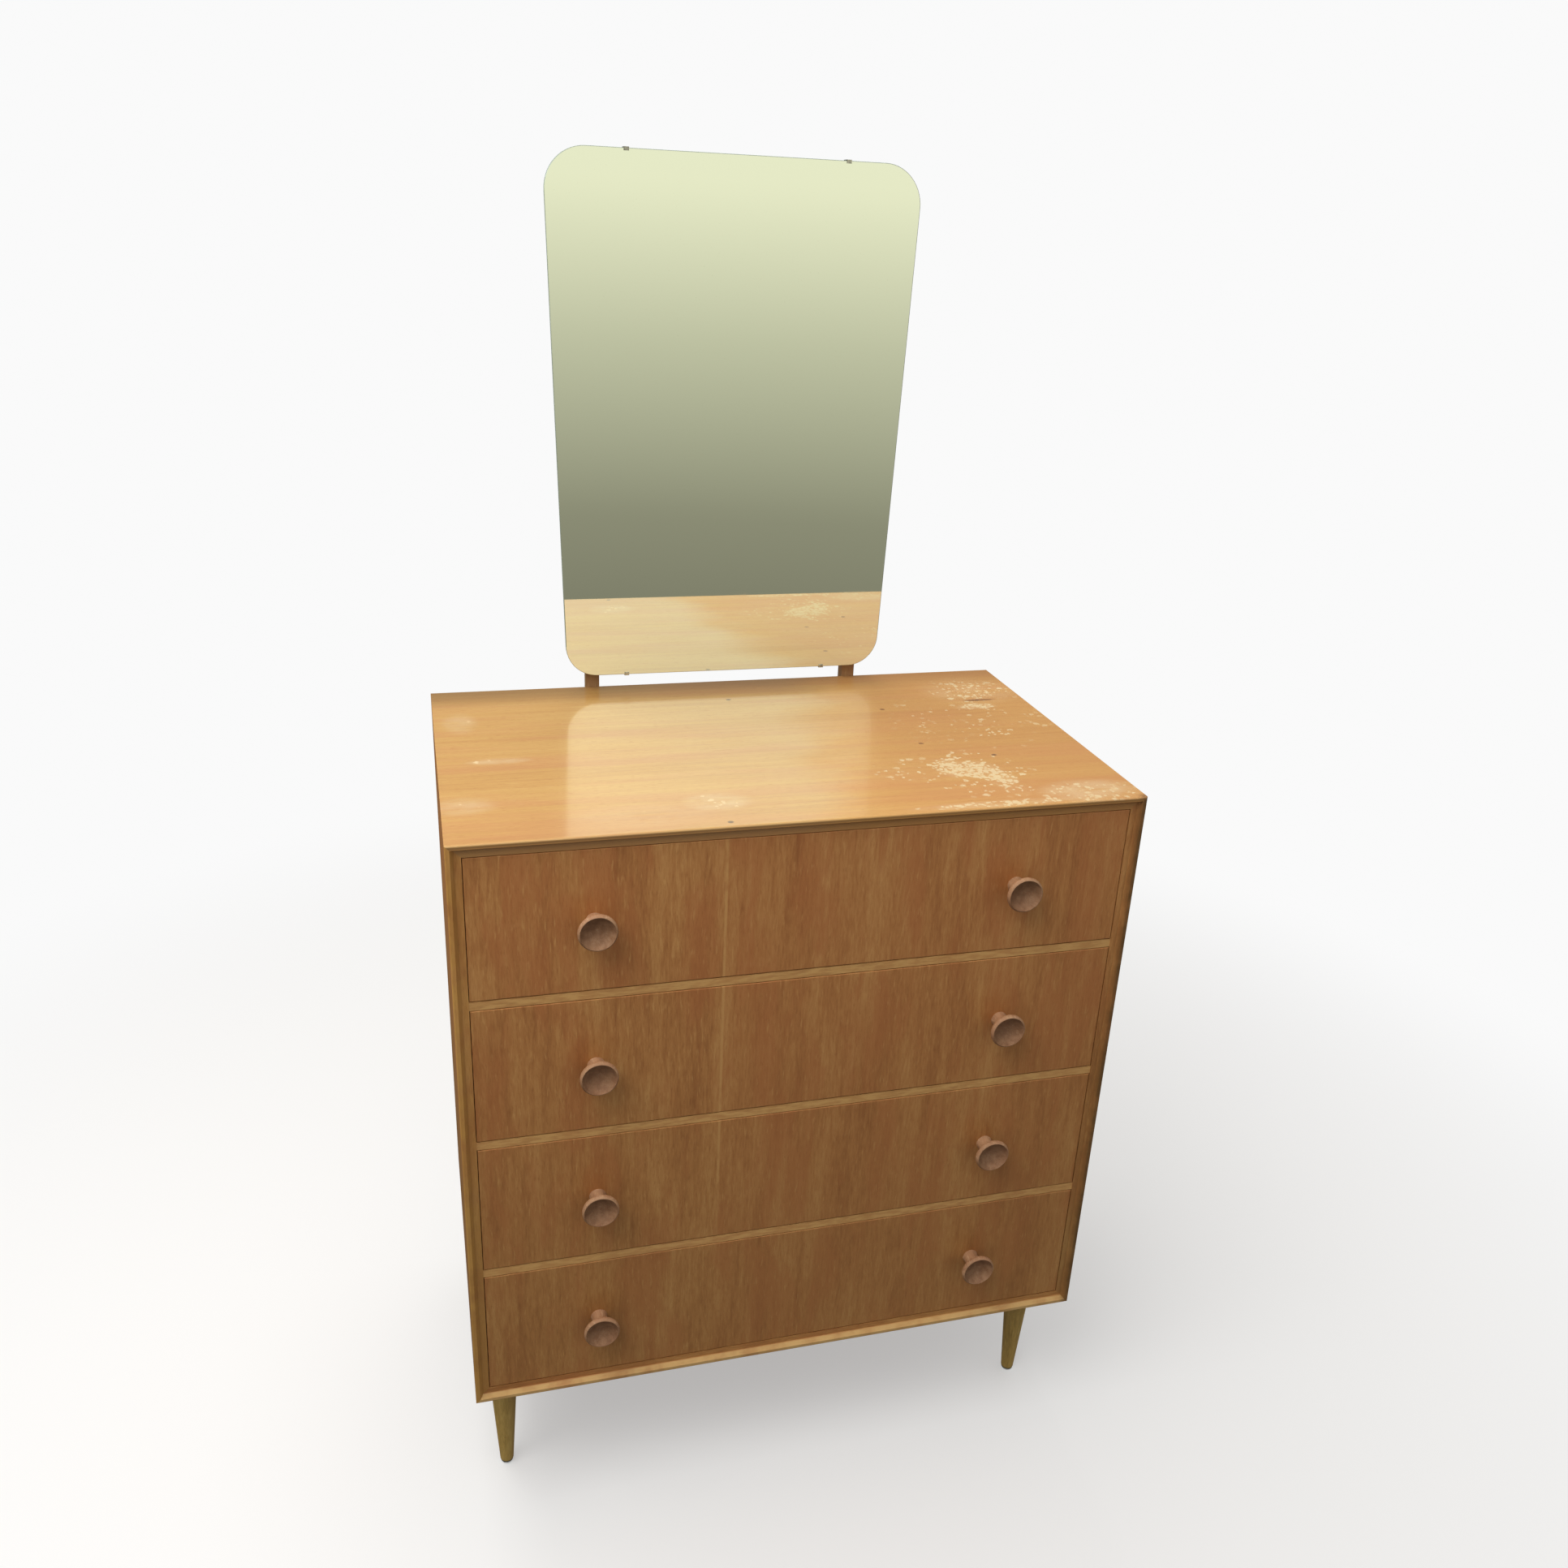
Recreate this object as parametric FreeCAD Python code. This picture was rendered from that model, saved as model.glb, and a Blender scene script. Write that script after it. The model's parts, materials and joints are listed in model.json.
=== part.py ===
import FreeCAD, Part
import math
import os

# Dressing chest with four drawers and a tilting mirror. Lengths are in millimetres, angles in degrees.
# X runs to the right along the front, Y from the front to the back, and Z up from the floor.
# The origin lies on the floor, under the middle of the whole chest.

V = FreeCAD.Vector
AXIS_X = V(1, 0, 0)
AXIS_Y = V(0, 1, 0)
AXIS_Z = V(0, 0, 1)
ORIGIN = V(0, 0, 0)

# Carcass
carcass_width = 762.0
carcass_depth = 460.0
carcass_height = 724.5
panel_thickness = 16.0
leg_height = 178.0

# Moulded front edge that every carcass panel carries
arris_radius = 1.6
bead_width = 5.0
bevel_rise = 4.0
front_recess = 5.5

# Back panel, held in a rebate by pins
back_panel_thickness = 4.0
back_rebate_width = 8.0
back_panel_edge_gap = 0.4
pin_length = 16.0
pin_radius = 0.8
pin_head_radius = 1.8
pin_head_height = 0.8
pin_spots_share = (-0.38, -0.19, 0.0, 0.19, 0.38)

# Loose tongues in the four mitres
tongue_thickness = 3.0
tongue_width = 12.0
tongue_end_margin = 30.0
tongue_place_share = 0.58

# Rails between the drawers, and rails behind the drawers that carry the mirror posts
front_rail_height = 10.0
front_rail_depth = 50.0
front_rail_setback = 0.5
back_rail_height = 60.0
back_rail_thickness = 16.0
dowel_radius = 3.0
dowel_length = 30.0
dowel_bite = 10.0
dowel_tip_gap = 0.5
dowel_spots_share = (0.26, 0.74)

# Drawers
drawer_count = 4
drawer_gap_side = 0.8
drawer_gap_top = 1.0
drawer_gap_bottom = 1.0
drawer_front_thickness = 16.0
drawer_front_arris = 0.8
drawer_back_gap = 9.5
drawer_side_thickness = 12.0
drawer_side_drop = 18.0
drawer_back_thickness = 10.0
drawer_back_inset = 10.0
drawer_back_housing = 4.0
drawer_bottom_thickness = 4.0
drawer_bottom_rise = 8.0
drawer_bottom_groove_depth = 5.0
drawer_bottom_gap = 0.1

# Dovetails between a drawer's front and its sides
tail_count = 3
tail_depth = 10.0
tail_root_share = 0.6
tail_flare_angle = 10.0

# Runners on the side panels, and the groove in each drawer side that hangs on them
runner_groove_height = 12.0
runner_groove_depth = 6.0
runner_gap = 0.3
runner_tip_gap = 0.5
runner_back_gap = 28.5
runner_screw_radius = 1.75
runner_screw_head_radius = 3.5
runner_screw_bite = 9.0
runner_screw_spots_share = (-0.42, 0.0, 0.42)

# Turned knobs, dished at the front
knob_offset = 235.0
knob_projection = 29.0
knob_base_radius = 9.75
knob_neck_radius = 8.6
knob_neck_height = 9.0
knob_flare_radius = 18.2
knob_flare_height = 21.8
knob_rim_radius = 20.8
knob_rim_height = 24.6
knob_lip_radius = 18.8
knob_dish_depth = 12.0
knob_screw_radius = 2.0
knob_screw_head_radius = 4.5
knob_screw_head_height = 2.5
knob_screw_bite = 14.0

# Turned legs with a hanger bolt, a threaded insert in the bottom panel and a glide under the foot
leg_side_inset = 35.0
leg_end_inset = 71.0
leg_top_radius = 19.0
leg_top_arris = 1.0
leg_foot_radius = 8.3
leg_bolt_radius = 4.0
leg_bolt_length = 48.0
leg_bolt_tip_gap = 1.0
insert_length = 12.0
insert_radius = 5.5
insert_flange_radius = 11.0
insert_flange_thickness = 1.2
glide_height = 6.0
glide_radius = 7.8
glide_flat_radius = 4.0
glide_skirt = 2.0
glide_nail_radius = 1.0
glide_nail_length = 14.0

# Mirror posts behind the carcass
post_width = 17.0
post_depth = 17.0
post_spacing = 350.0
post_drop = 262.0
post_screw_radius = 2.0
post_screw_head_radius = 4.2
post_screw_bite = 12.0
post_screw_spread = 34.0

# Mirror: glass on a backing board, wider at the top, with rounded corners
mirror_height = 623.0
mirror_bottom_width = 418.0
mirror_top_width = 453.0
mirror_bottom_corner = 40.0
mirror_top_corner = 47.0
mirror_lift = 19.0
mirror_post_gap = 0.5
glass_thickness = 5.0
glass_arris = 0.7
board_thickness = 6.5
board_inset = 3.0
clip_offset = 132.0
clip_width = 6.0
clip_metal = 0.9
clip_lip = 3.0
clip_tail = 15.0
clip_gap = 0.2

# Pivots on which the mirror tilts
pivot_height = 327.0
bracket_metal = 2.0
bracket_width = 32.0
bracket_height = 44.0
bracket_post_gap = 0.3
bracket_ear_radius = 7.5
pivot_screw_radius = 2.5
pivot_screw_bite = 12.0
pivot_head_radius = 4.5
pivot_head_height = 3.0
pivot_head_gap = 0.3
mirror_screw_radius = 1.5
mirror_screw_bite = 5.0
mirror_screw_head_radius = 2.8
mirror_screw_head_height = 1.4
bracket_screw_side_share = 0.34
bracket_screw_height_share = 0.34

# Radial play of fixed fasteners and of the turning pivots, and the overrun of all cuts
fastener_play = 0.05
pivot_play = 0.06
overrun = 1.0

# Places worked out from the sizes above
knob_reach = knob_projection - front_recess
overall_depth = knob_reach + carcass_depth + post_depth
front_y = knob_reach - overall_depth / 2
back_y = front_y + carcass_depth
face_y = front_y + front_recess
bottom_z = leg_height
top_z = bottom_z + carcass_height
inner_half_width = carcass_width / 2 - panel_thickness
inner_low_z = bottom_z + panel_thickness
inner_high_z = top_z - panel_thickness
opening_height = (inner_high_z - inner_low_z - (drawer_count - 1) * front_rail_height) / drawer_count
back_panel_front_y = back_y - back_panel_thickness
back_rail_front_y = back_panel_front_y - back_rail_thickness
drawer_length = back_rail_front_y - drawer_back_gap - face_y
runner_length = drawer_length - drawer_front_thickness - runner_tip_gap - runner_back_gap
top_back_rail_z = inner_high_z - back_rail_height / 2
post_bottom_z = top_z - post_drop
low_back_rail_z = post_bottom_z + back_rail_height / 2
post_x = post_spacing / 2
pivot_y = back_y + post_depth / 2
mirror_low_z = top_z + mirror_lift
pivot_z = mirror_low_z + pivot_height
board_back_y = back_y - mirror_post_gap
board_front_y = board_back_y - board_thickness
glass_front_y = board_front_y - glass_thickness

os.makedirs("parts", exist_ok=True)


def save(node, shapes):
    """Write one node as a STEP file, from one solid or a list of separate solids."""
    shape = shapes[0] if len(shapes) == 1 else Part.makeCompound(shapes)
    for solid in shape.Solids:
        if not solid.isValid():
            print("not valid:", node)
    shape.exportStep("parts/" + node + ".step")
    print(node, len(shape.Solids), round(shape.Volume))


def block(x_range, y_range, z_range):
    """Box between two values on each axis."""
    size_x = x_range[1] - x_range[0]
    size_y = y_range[1] - y_range[0]
    size_z = z_range[1] - z_range[0]
    return Part.makeBox(size_x, size_y, size_z, V(x_range[0], y_range[0], z_range[0]))


def aimed(shape, place, direction):
    """Copy of a shape made along +Z at the origin, turned to a direction and moved to its place."""
    turned = shape.copy()
    turned.Placement = FreeCAD.Placement(place, FreeCAD.Rotation(AXIS_Z, direction))
    return turned


def rod(radius, place, direction, length):
    """Round bar from a place along a direction."""
    return Part.makeCylinder(radius, length, place, direction)


def turned_solid(edges):
    """Solid turned about the Z axis from profile edges in the XZ plane."""
    face = Part.Face(Part.Wire(edges))
    return face.revolve(ORIGIN, AXIS_Z, 360)


def line(start, end):
    """Straight profile edge between two (radius, height) points."""
    return Part.LineSegment(V(start[0], 0, start[1]), V(end[0], 0, end[1])).toShape()


def lines(*points):
    """Straight profile edges through a row of (radius, height) points."""
    return [line(start, end) for start, end in zip(points, points[1:])]


def arc(start, middle, end):
    """Round profile edge through three (radius, height) points."""
    points = [V(point[0], 0, point[1]) for point in (start, middle, end)]
    return Part.Arc(points[0], points[1], points[2]).toShape()


def cap(edge, pole_height):
    """Round profile edge from a (radius, height) point to the axis, about a centre on the axis."""
    rise = pole_height - edge[1]
    ball = (edge[0] ** 2 + rise ** 2) / (2 * rise)
    centre = pole_height - ball
    half = edge[0] / 2
    middle_height = centre + math.copysign(math.sqrt(ball ** 2 - half ** 2), rise)
    return arc(edge, (half, middle_height), (0, pole_height))


def round_head_screw(shank_radius, shank_length, head_radius, head_height):
    """Screw along +Z: shank from the origin upwards, domed head below it."""
    rim = (head_radius, -head_height / 2)
    edges = lines((0, -head_height), (0, shank_length), (shank_radius, shank_length - shank_radius),
                  (shank_radius, 0), (head_radius, 0), rim)
    return turned_solid(edges + [cap(rim, -head_height)])


def flush_head_screw(shank_radius, length, head_radius):
    """Countersunk screw along +Z: flat head at the origin, pointed tip at its full length."""
    sink = head_radius - shank_radius
    return turned_solid(lines((0, 0), (head_radius, 0), (shank_radius, sink),
                              (shank_radius, length - shank_radius), (0, length), (0, 0)))


def flush_head_hole(shank_radius, length, head_radius):
    """Hole for a countersunk screw, with play all round and an overrun at the mouth."""
    sink = head_radius - shank_radius
    bore = shank_radius + fastener_play
    mouth = head_radius + fastener_play
    end = length + fastener_play
    return turned_solid(lines((0, -overrun), (mouth, -overrun), (mouth, 0), (bore, sink),
                              (bore, end), (0, end), (0, -overrun)))


def drilled(shape, tools):
    """Shape with a list of tools cut out of it."""
    return shape.cut(tools) if tools else shape


# Carcass panels

def moulded_panel(length):
    """Panel on its outer face, centred on X, with moulded front edge, back rebate and mitred ends."""
    corner = arris_radius * (1 - math.cos(math.pi / 4))
    points = [
        V(0, 0, arris_radius),
        V(0, 0, bead_width),
        V(0, front_recess, bead_width + bevel_rise),
        V(0, front_recess, panel_thickness),
        V(0, carcass_depth - back_panel_thickness, panel_thickness),
        V(0, carcass_depth - back_panel_thickness, panel_thickness - back_rebate_width),
        V(0, carcass_depth, panel_thickness - back_rebate_width),
        V(0, carcass_depth, 0),
        V(0, arris_radius, 0),
    ]
    edges = [Part.LineSegment(start, end).toShape() for start, end in zip(points, points[1:])]
    edges.append(Part.Arc(points[-1], V(0, corner, corner), points[0]).toShape())
    section = Part.Face(Part.Wire(edges))
    section.translate(V(-length / 2, 0, 0))
    board = section.extrude(V(length, 0, 0))
    mitre = Part.Face(Part.makePolygon([
        V(-length / 2, -overrun, 0),
        V(length / 2, -overrun, 0),
        V(length / 2 - panel_thickness, -overrun, panel_thickness),
        V(-length / 2 + panel_thickness, -overrun, panel_thickness),
        V(-length / 2, -overrun, 0),
    ])).extrude(V(0, carcass_depth + 2 * overrun, 0))
    return board.common(mitre)


def carcass_panels():
    """The four mitred panels, by node name."""
    middle_z = (bottom_z + top_z) / 2
    places = {
        "bottom_panel": (carcass_width, 0, V(0, front_y, bottom_z)),
        "top_panel": (carcass_width, 180, V(0, front_y, top_z)),
        "left_side_panel": (carcass_height, 90, V(-carcass_width / 2, front_y, middle_z)),
        "right_side_panel": (carcass_height, -90, V(carcass_width / 2, front_y, middle_z)),
    }
    panels = {}
    for node, (length, turn, place) in places.items():
        panel = moulded_panel(length)
        panel.Placement = FreeCAD.Placement(place, FreeCAD.Rotation(AXIS_Y, turn))
        panels[node] = panel
    return panels


def mitre_tongues():
    """Four loose tongues, square to the mitre planes, by side and height sign."""
    tongues = {}
    run = carcass_depth - 2 * tongue_end_margin
    place = panel_thickness * tongue_place_share
    for side in (-1, 1):
        for level in (-1, 1):
            tongue = Part.makeBox(tongue_width, run, tongue_thickness,
                                  V(-tongue_width / 2, 0, -tongue_thickness / 2))
            corner_x = side * (carcass_width / 2 - place)
            corner_z = (bottom_z + top_z) / 2 + level * (carcass_height / 2 - place)
            corner = V(corner_x, front_y + tongue_end_margin, corner_z)
            tongue.Placement = FreeCAD.Placement(corner, FreeCAD.Rotation(AXIS_Y, 45 * side * level))
            tongues[(side, level)] = tongue
    return tongues


def opening_low_z(number):
    """Lowest height of the opening of a drawer, counted from 1 at the top."""
    return inner_low_z + (drawer_count - number) * (opening_height + front_rail_height)


def front_rail(number):
    """Rail under a drawer, counted from the top."""
    low_z = opening_low_z(number) - front_rail_height
    low_y = face_y + front_rail_setback
    return block((-inner_half_width, inner_half_width), (low_y, low_y + front_rail_depth),
                 (low_z, low_z + front_rail_height))


def back_rail(middle_z):
    """Rail against the inner face of the back panel."""
    return block((-inner_half_width, inner_half_width), (back_rail_front_y, back_panel_front_y),
                 (middle_z - back_rail_height / 2, middle_z + back_rail_height / 2))


def rail_dowel_spots():
    """The (y, z) places of all dowels, two for each end of each rail."""
    spots = []
    for number in range(1, drawer_count):
        rail_z = opening_low_z(number) - front_rail_height / 2
        for share in dowel_spots_share:
            spots.append((face_y + front_rail_setback + share * front_rail_depth, rail_z))
    for rail_z in (top_back_rail_z, low_back_rail_z):
        for share in dowel_spots_share:
            spots.append((back_rail_front_y + back_rail_thickness / 2,
                          rail_z + (share - 0.5) * back_rail_height))
    return spots


def dowels_and_holes():
    """Dowels across the joints between rails and side panels, and the holes that take them."""
    dowels = []
    holes = []
    for y, z in rail_dowel_spots():
        for side in (-1, 1):
            tip = V(side * (inner_half_width + dowel_bite), y, z)
            inward = V(-side, 0, 0)
            dowels.append(rod(dowel_radius, tip, inward, dowel_length))
            mouth = V(side * (inner_half_width + dowel_bite + dowel_tip_gap), y, z)
            holes.append(rod(dowel_radius + fastener_play, mouth, inward,
                             dowel_length + 2 * dowel_tip_gap))
    return dowels, holes


def back_panel():
    """Thin panel in the rebates of the four carcass panels."""
    edge = panel_thickness - back_rebate_width + back_panel_edge_gap
    return block((-carcass_width / 2 + edge, carcass_width / 2 - edge), (back_panel_front_y, back_y),
                 (bottom_z + edge, top_z - edge))


def pin_places():
    """Places of the pins along the four edges of the back panel."""
    line_x = carcass_width / 2 - panel_thickness + back_rebate_width / 2
    line_z = carcass_height / 2 - panel_thickness + back_rebate_width / 2
    middle_z = (bottom_z + top_z) / 2
    places = []
    for share in pin_spots_share:
        for side in (-1, 1):
            places.append(V(share * carcass_width, back_y, middle_z + side * line_z))
            places.append(V(side * line_x, back_y, middle_z + share * carcass_height))
    return places


def back_panel_pins():
    """Pins and the holes that take them."""
    pin = round_head_screw(pin_radius, pin_length, pin_head_radius, pin_head_height)
    forward = V(0, -1, 0)
    pins = [aimed(pin, place, forward) for place in pin_places()]
    holes = [rod(pin_radius + fastener_play, place, forward, pin_length + fastener_play)
             for place in pin_places()]
    return pins, holes


# Runners

runner_thickness = drawer_gap_side + runner_groove_depth - runner_gap
runner_front_y = face_y + drawer_front_thickness + runner_tip_gap


def front_low_z(number):
    """Lower edge of a drawer's front."""
    return opening_low_z(number) + drawer_gap_bottom


def front_high_z(number):
    """Upper edge of a drawer's front."""
    return opening_low_z(number) + opening_height - drawer_gap_top


def groove_z(number):
    """Middle height of the groove in a drawer's sides."""
    return (front_low_z(number) + front_high_z(number) - drawer_side_drop) / 2


def runner(number, side):
    """Hardwood strip on the inner face of a side panel."""
    half_height = runner_groove_height / 2 - runner_gap
    face_x = side * inner_half_width
    tip_x = side * (inner_half_width - runner_thickness)
    return block(sorted((face_x, tip_x)), (runner_front_y, runner_front_y + runner_length),
                 (groove_z(number) - half_height, groove_z(number) + half_height))


def runners_and_screws():
    """All runners, their screws, and the holes of the screws."""
    length = runner_thickness + runner_screw_bite
    screw = flush_head_screw(runner_screw_radius, length, runner_screw_head_radius)
    hole = flush_head_hole(runner_screw_radius, length, runner_screw_head_radius)
    runners = []
    screws = []
    holes = []
    for number in range(1, drawer_count + 1):
        for side in (-1, 1):
            outward = V(side, 0, 0)
            places = [V(side * (inner_half_width - runner_thickness),
                        runner_front_y + (0.5 + share) * runner_length, groove_z(number))
                      for share in runner_screw_spots_share]
            own_holes = [aimed(hole, place, outward) for place in places]
            runners.append(drilled(runner(number, side), own_holes))
            screws += [aimed(screw, place, outward) for place in places]
            holes += own_holes
    return runners, screws, holes


# Drawers

box_half_width = inner_half_width - drawer_gap_side
box_inner_half = box_half_width - drawer_side_thickness
front_back_y = face_y + drawer_front_thickness
box_end_y = face_y + drawer_length
drawer_back_y = box_end_y - drawer_back_inset


def side_high_z(number):
    """Upper edge of a drawer's sides."""
    return front_high_z(number) - drawer_side_drop


def tails(number, side):
    """Dovetails that a drawer's side carries at its front end."""
    height = side_high_z(number) - front_low_z(number)
    pitch = height / tail_count
    half_root = pitch * tail_root_share / 2
    half_tip = half_root + tail_depth * math.tan(math.radians(tail_flare_angle))
    shapes = []
    for index in range(tail_count):
        z = front_low_z(number) + (index + 0.5) * pitch
        outline = Part.makePolygon([
            V(0, front_back_y, z - half_root),
            V(0, front_back_y, z + half_root),
            V(0, front_back_y - tail_depth, z + half_tip),
            V(0, front_back_y - tail_depth, z - half_tip),
            V(0, front_back_y, z - half_root),
        ])
        tail = Part.Face(outline)
        tail.translate(V(side * box_inner_half, 0, 0))
        shapes.append(tail.extrude(V(side * drawer_side_thickness, 0, 0)))
    return shapes


def bottom_groove(number):
    """Space of the drawer bottom with its play, cut from the front and the sides."""
    low_z = front_low_z(number) + drawer_bottom_rise - drawer_bottom_gap
    high_z = front_low_z(number) + drawer_bottom_rise + drawer_bottom_thickness + drawer_bottom_gap
    reach = box_inner_half + drawer_bottom_groove_depth
    front_y_range = (front_back_y - drawer_bottom_groove_depth, front_back_y + overrun)
    front_part = block((-box_inner_half, box_inner_half), front_y_range, (low_z, high_z))
    side_part = block((-reach, reach), (front_back_y, box_end_y + overrun), (low_z, high_z))
    return front_part, side_part


def drawer_bottom(number):
    """Plywood bottom with a narrower tongue at the front."""
    low_z = front_low_z(number) + drawer_bottom_rise
    high_z = low_z + drawer_bottom_thickness
    gap = drawer_bottom_gap
    reach = box_inner_half + drawer_bottom_groove_depth - gap
    sheet = block((-reach, reach), (front_back_y + gap, drawer_back_y), (low_z, high_z))
    tongue_y_range = (front_back_y - drawer_bottom_groove_depth + gap, front_back_y + overrun)
    tongue = block((-box_inner_half + gap, box_inner_half - gap), tongue_y_range, (low_z, high_z))
    return sheet.fuse(tongue).removeSplitter()


def drawer_front(number):
    """Front with eased edges, dovetail sockets, bottom groove and knob screw holes."""
    board = block((-box_half_width, box_half_width), (face_y, front_back_y),
                  (front_low_z(number), front_high_z(number)))
    eased = [edge for edge in board.Edges if edge.BoundBox.YMax < face_y + drawer_front_arris]
    board = board.makeFillet(drawer_front_arris, eased)
    tools = tails(number, -1) + tails(number, 1) + [bottom_groove(number)[0]]
    for side in (-1, 1):
        mouth = V(side * knob_offset, face_y - overrun, knob_z(number))
        tools.append(rod(knob_screw_radius + fastener_play, mouth, AXIS_Y,
                         drawer_front_thickness + 2 * overrun))
    return drilled(board, tools)


def drawer_back(number):
    """Back, housed in both sides and standing on the bottom."""
    reach = box_inner_half + drawer_back_housing
    low_z = front_low_z(number) + drawer_bottom_rise + drawer_bottom_thickness
    return block((-reach, reach), (drawer_back_y - drawer_back_thickness, drawer_back_y),
                 (low_z, side_high_z(number)))


def drawer_side(number, side):
    """Side with dovetails, runner groove outside, bottom groove and back housing inside."""
    low_z = front_low_z(number)
    inner_x = side * box_inner_half
    outer_x = side * box_half_width
    board = block(sorted((inner_x, outer_x)), (front_back_y, box_end_y), (low_z, side_high_z(number)))
    board = board.fuse(tails(number, side)).removeSplitter()
    groove_low = groove_z(number) - runner_groove_height / 2
    groove_x = side * (box_half_width - runner_groove_depth)
    groove = block(sorted((groove_x, outer_x + side * overrun)), (front_back_y, box_end_y + overrun),
                   (groove_low, groove_low + runner_groove_height))
    return drilled(board, [groove, bottom_groove(number)[1], drawer_back(number)])


def knob_z(number):
    """Height of a drawer's knobs, at the middle of its front."""
    return (front_low_z(number) + front_high_z(number)) / 2


def knob():
    """Knob turned about +Z: base at the origin, neck, flare, rounded rim and dish."""
    neck = (knob_neck_radius, knob_neck_height)
    flare = (knob_flare_radius, knob_flare_height)
    rim = (knob_rim_radius, knob_rim_height)
    lip = (knob_lip_radius, knob_projection)
    dish_height = knob_projection - knob_dish_depth
    base_bulge = ((knob_base_radius + knob_neck_radius) / 2 - (knob_base_radius - knob_neck_radius) / 5,
                  knob_neck_height / 2)
    waist = (knob_neck_radius + (knob_flare_radius - knob_neck_radius) / 4,
             knob_neck_height + (knob_flare_height - knob_neck_height) * 2 / 3)
    under_rim = (knob_flare_radius + (knob_rim_radius - knob_flare_radius) * 2 / 3,
                 knob_flare_height + (knob_rim_height - knob_flare_height) / 3)
    over_rim = (knob_lip_radius + (knob_rim_radius - knob_lip_radius) * 3 / 4,
                knob_rim_height + (knob_projection - knob_rim_height) * 2 / 3)
    edges = [
        line((0, 0), (knob_base_radius, 0)),
        arc((knob_base_radius, 0), base_bulge, neck),
        arc(neck, waist, flare),
        arc(flare, under_rim, rim),
        arc(rim, over_rim, lip),
        cap(lip, dish_height),
        line((0, dish_height), (0, 0)),
    ]
    return turned_solid(edges)


def knobs_and_screws(number):
    """Both knobs of a drawer and the screws that hold them from inside."""
    forward = V(0, -1, 0)
    screw = round_head_screw(knob_screw_radius, drawer_front_thickness + knob_screw_bite,
                             knob_screw_head_radius, knob_screw_head_height)
    knobs = []
    screws = []
    for side in (-1, 1):
        face = V(side * knob_offset, face_y, knob_z(number))
        hole = rod(knob_screw_radius + fastener_play, face + AXIS_Y * overrun, forward,
                   knob_screw_bite + fastener_play + overrun)
        knobs.append(aimed(knob(), face, forward).cut(hole))
        screws.append(aimed(screw, V(side * knob_offset, front_back_y, knob_z(number)), forward))
    return knobs, screws


# Legs

leg_wood_height = leg_height - glide_height
leg_places = [V(side * (carcass_width / 2 - leg_side_inset), y, 0)
              for y in (front_y + leg_end_inset, back_y - leg_end_inset) for side in (-1, 1)]
leg_names = ("front_left_leg", "front_right_leg", "back_left_leg", "back_right_leg")


def leg():
    """Tapered leg over the origin, bored for its bolt and for the glide's nail."""
    high_z = bottom_z
    taper = (leg_top_radius - leg_foot_radius) / leg_wood_height
    shoulder = (leg_top_radius - taper * leg_top_arris, high_z - leg_top_arris)
    edges = lines((0, glide_height), (leg_foot_radius, glide_height), shoulder,
                  (leg_top_radius - leg_top_arris, high_z), (0, high_z), (0, glide_height))
    bolt_hole = rod(leg_bolt_radius + fastener_play, V(0, 0, bolt_low_z - leg_bolt_tip_gap), AXIS_Z,
                    leg_bolt_length)
    nail_hole = rod(glide_nail_radius + fastener_play, V(0, 0, glide_height - overrun), AXIS_Z,
                    glide_nail_length + fastener_play + overrun)
    return turned_solid(edges).cut([bolt_hole, nail_hole])


insert_high_z = bottom_z + panel_thickness
bolt_high_z = insert_high_z - insert_flange_thickness
bolt_low_z = bolt_high_z - leg_bolt_length


def leg_insert():
    """Flanged threaded insert over the origin, let into the bottom panel from above."""
    barrel = rod(insert_radius, V(0, 0, insert_high_z - insert_length), AXIS_Z, insert_length)
    flange = rod(insert_flange_radius, V(0, 0, insert_high_z - insert_flange_thickness), AXIS_Z,
                 insert_flange_thickness)
    bore = rod(leg_bolt_radius + fastener_play, V(0, 0, insert_high_z - insert_length - overrun),
               AXIS_Z, insert_length + 2 * overrun)
    return barrel.fuse(flange).removeSplitter().cut(bore)


def insert_hole():
    """Stepped hole over the origin that takes an insert and its bolt."""
    bolt_part = rod(leg_bolt_radius + fastener_play, V(0, 0, bottom_z - overrun), AXIS_Z,
                    panel_thickness + 2 * overrun)
    barrel_part = rod(insert_radius + fastener_play, V(0, 0, insert_high_z - insert_length), AXIS_Z,
                      insert_length + overrun)
    flange_part = rod(insert_flange_radius + fastener_play,
                      V(0, 0, insert_high_z - insert_flange_thickness), AXIS_Z,
                      insert_flange_thickness + overrun)
    return bolt_part.fuse([barrel_part, flange_part])


def glide():
    """Nail-on glide over the origin: flat tread, rounded skirt and nail."""
    shoulder = (glide_radius, glide_height - glide_skirt)
    bulge = (glide_flat_radius + (glide_radius - glide_flat_radius) * 3 / 4, shoulder[1] * 3 / 8)
    tip_z = glide_height + glide_nail_length
    edges = [line((0, 0), (glide_flat_radius, 0)), arc((glide_flat_radius, 0), bulge, shoulder)]
    edges += lines(shoulder, (glide_radius, glide_height), (glide_nail_radius, glide_height),
                   (glide_nail_radius, tip_z - glide_nail_radius), (0, tip_z), (0, 0))
    return turned_solid(edges)


def moved(shape, place):
    """Copy of a shape moved to a place."""
    copy = shape.copy()
    copy.translate(place)
    return copy


# Mirror posts

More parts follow.
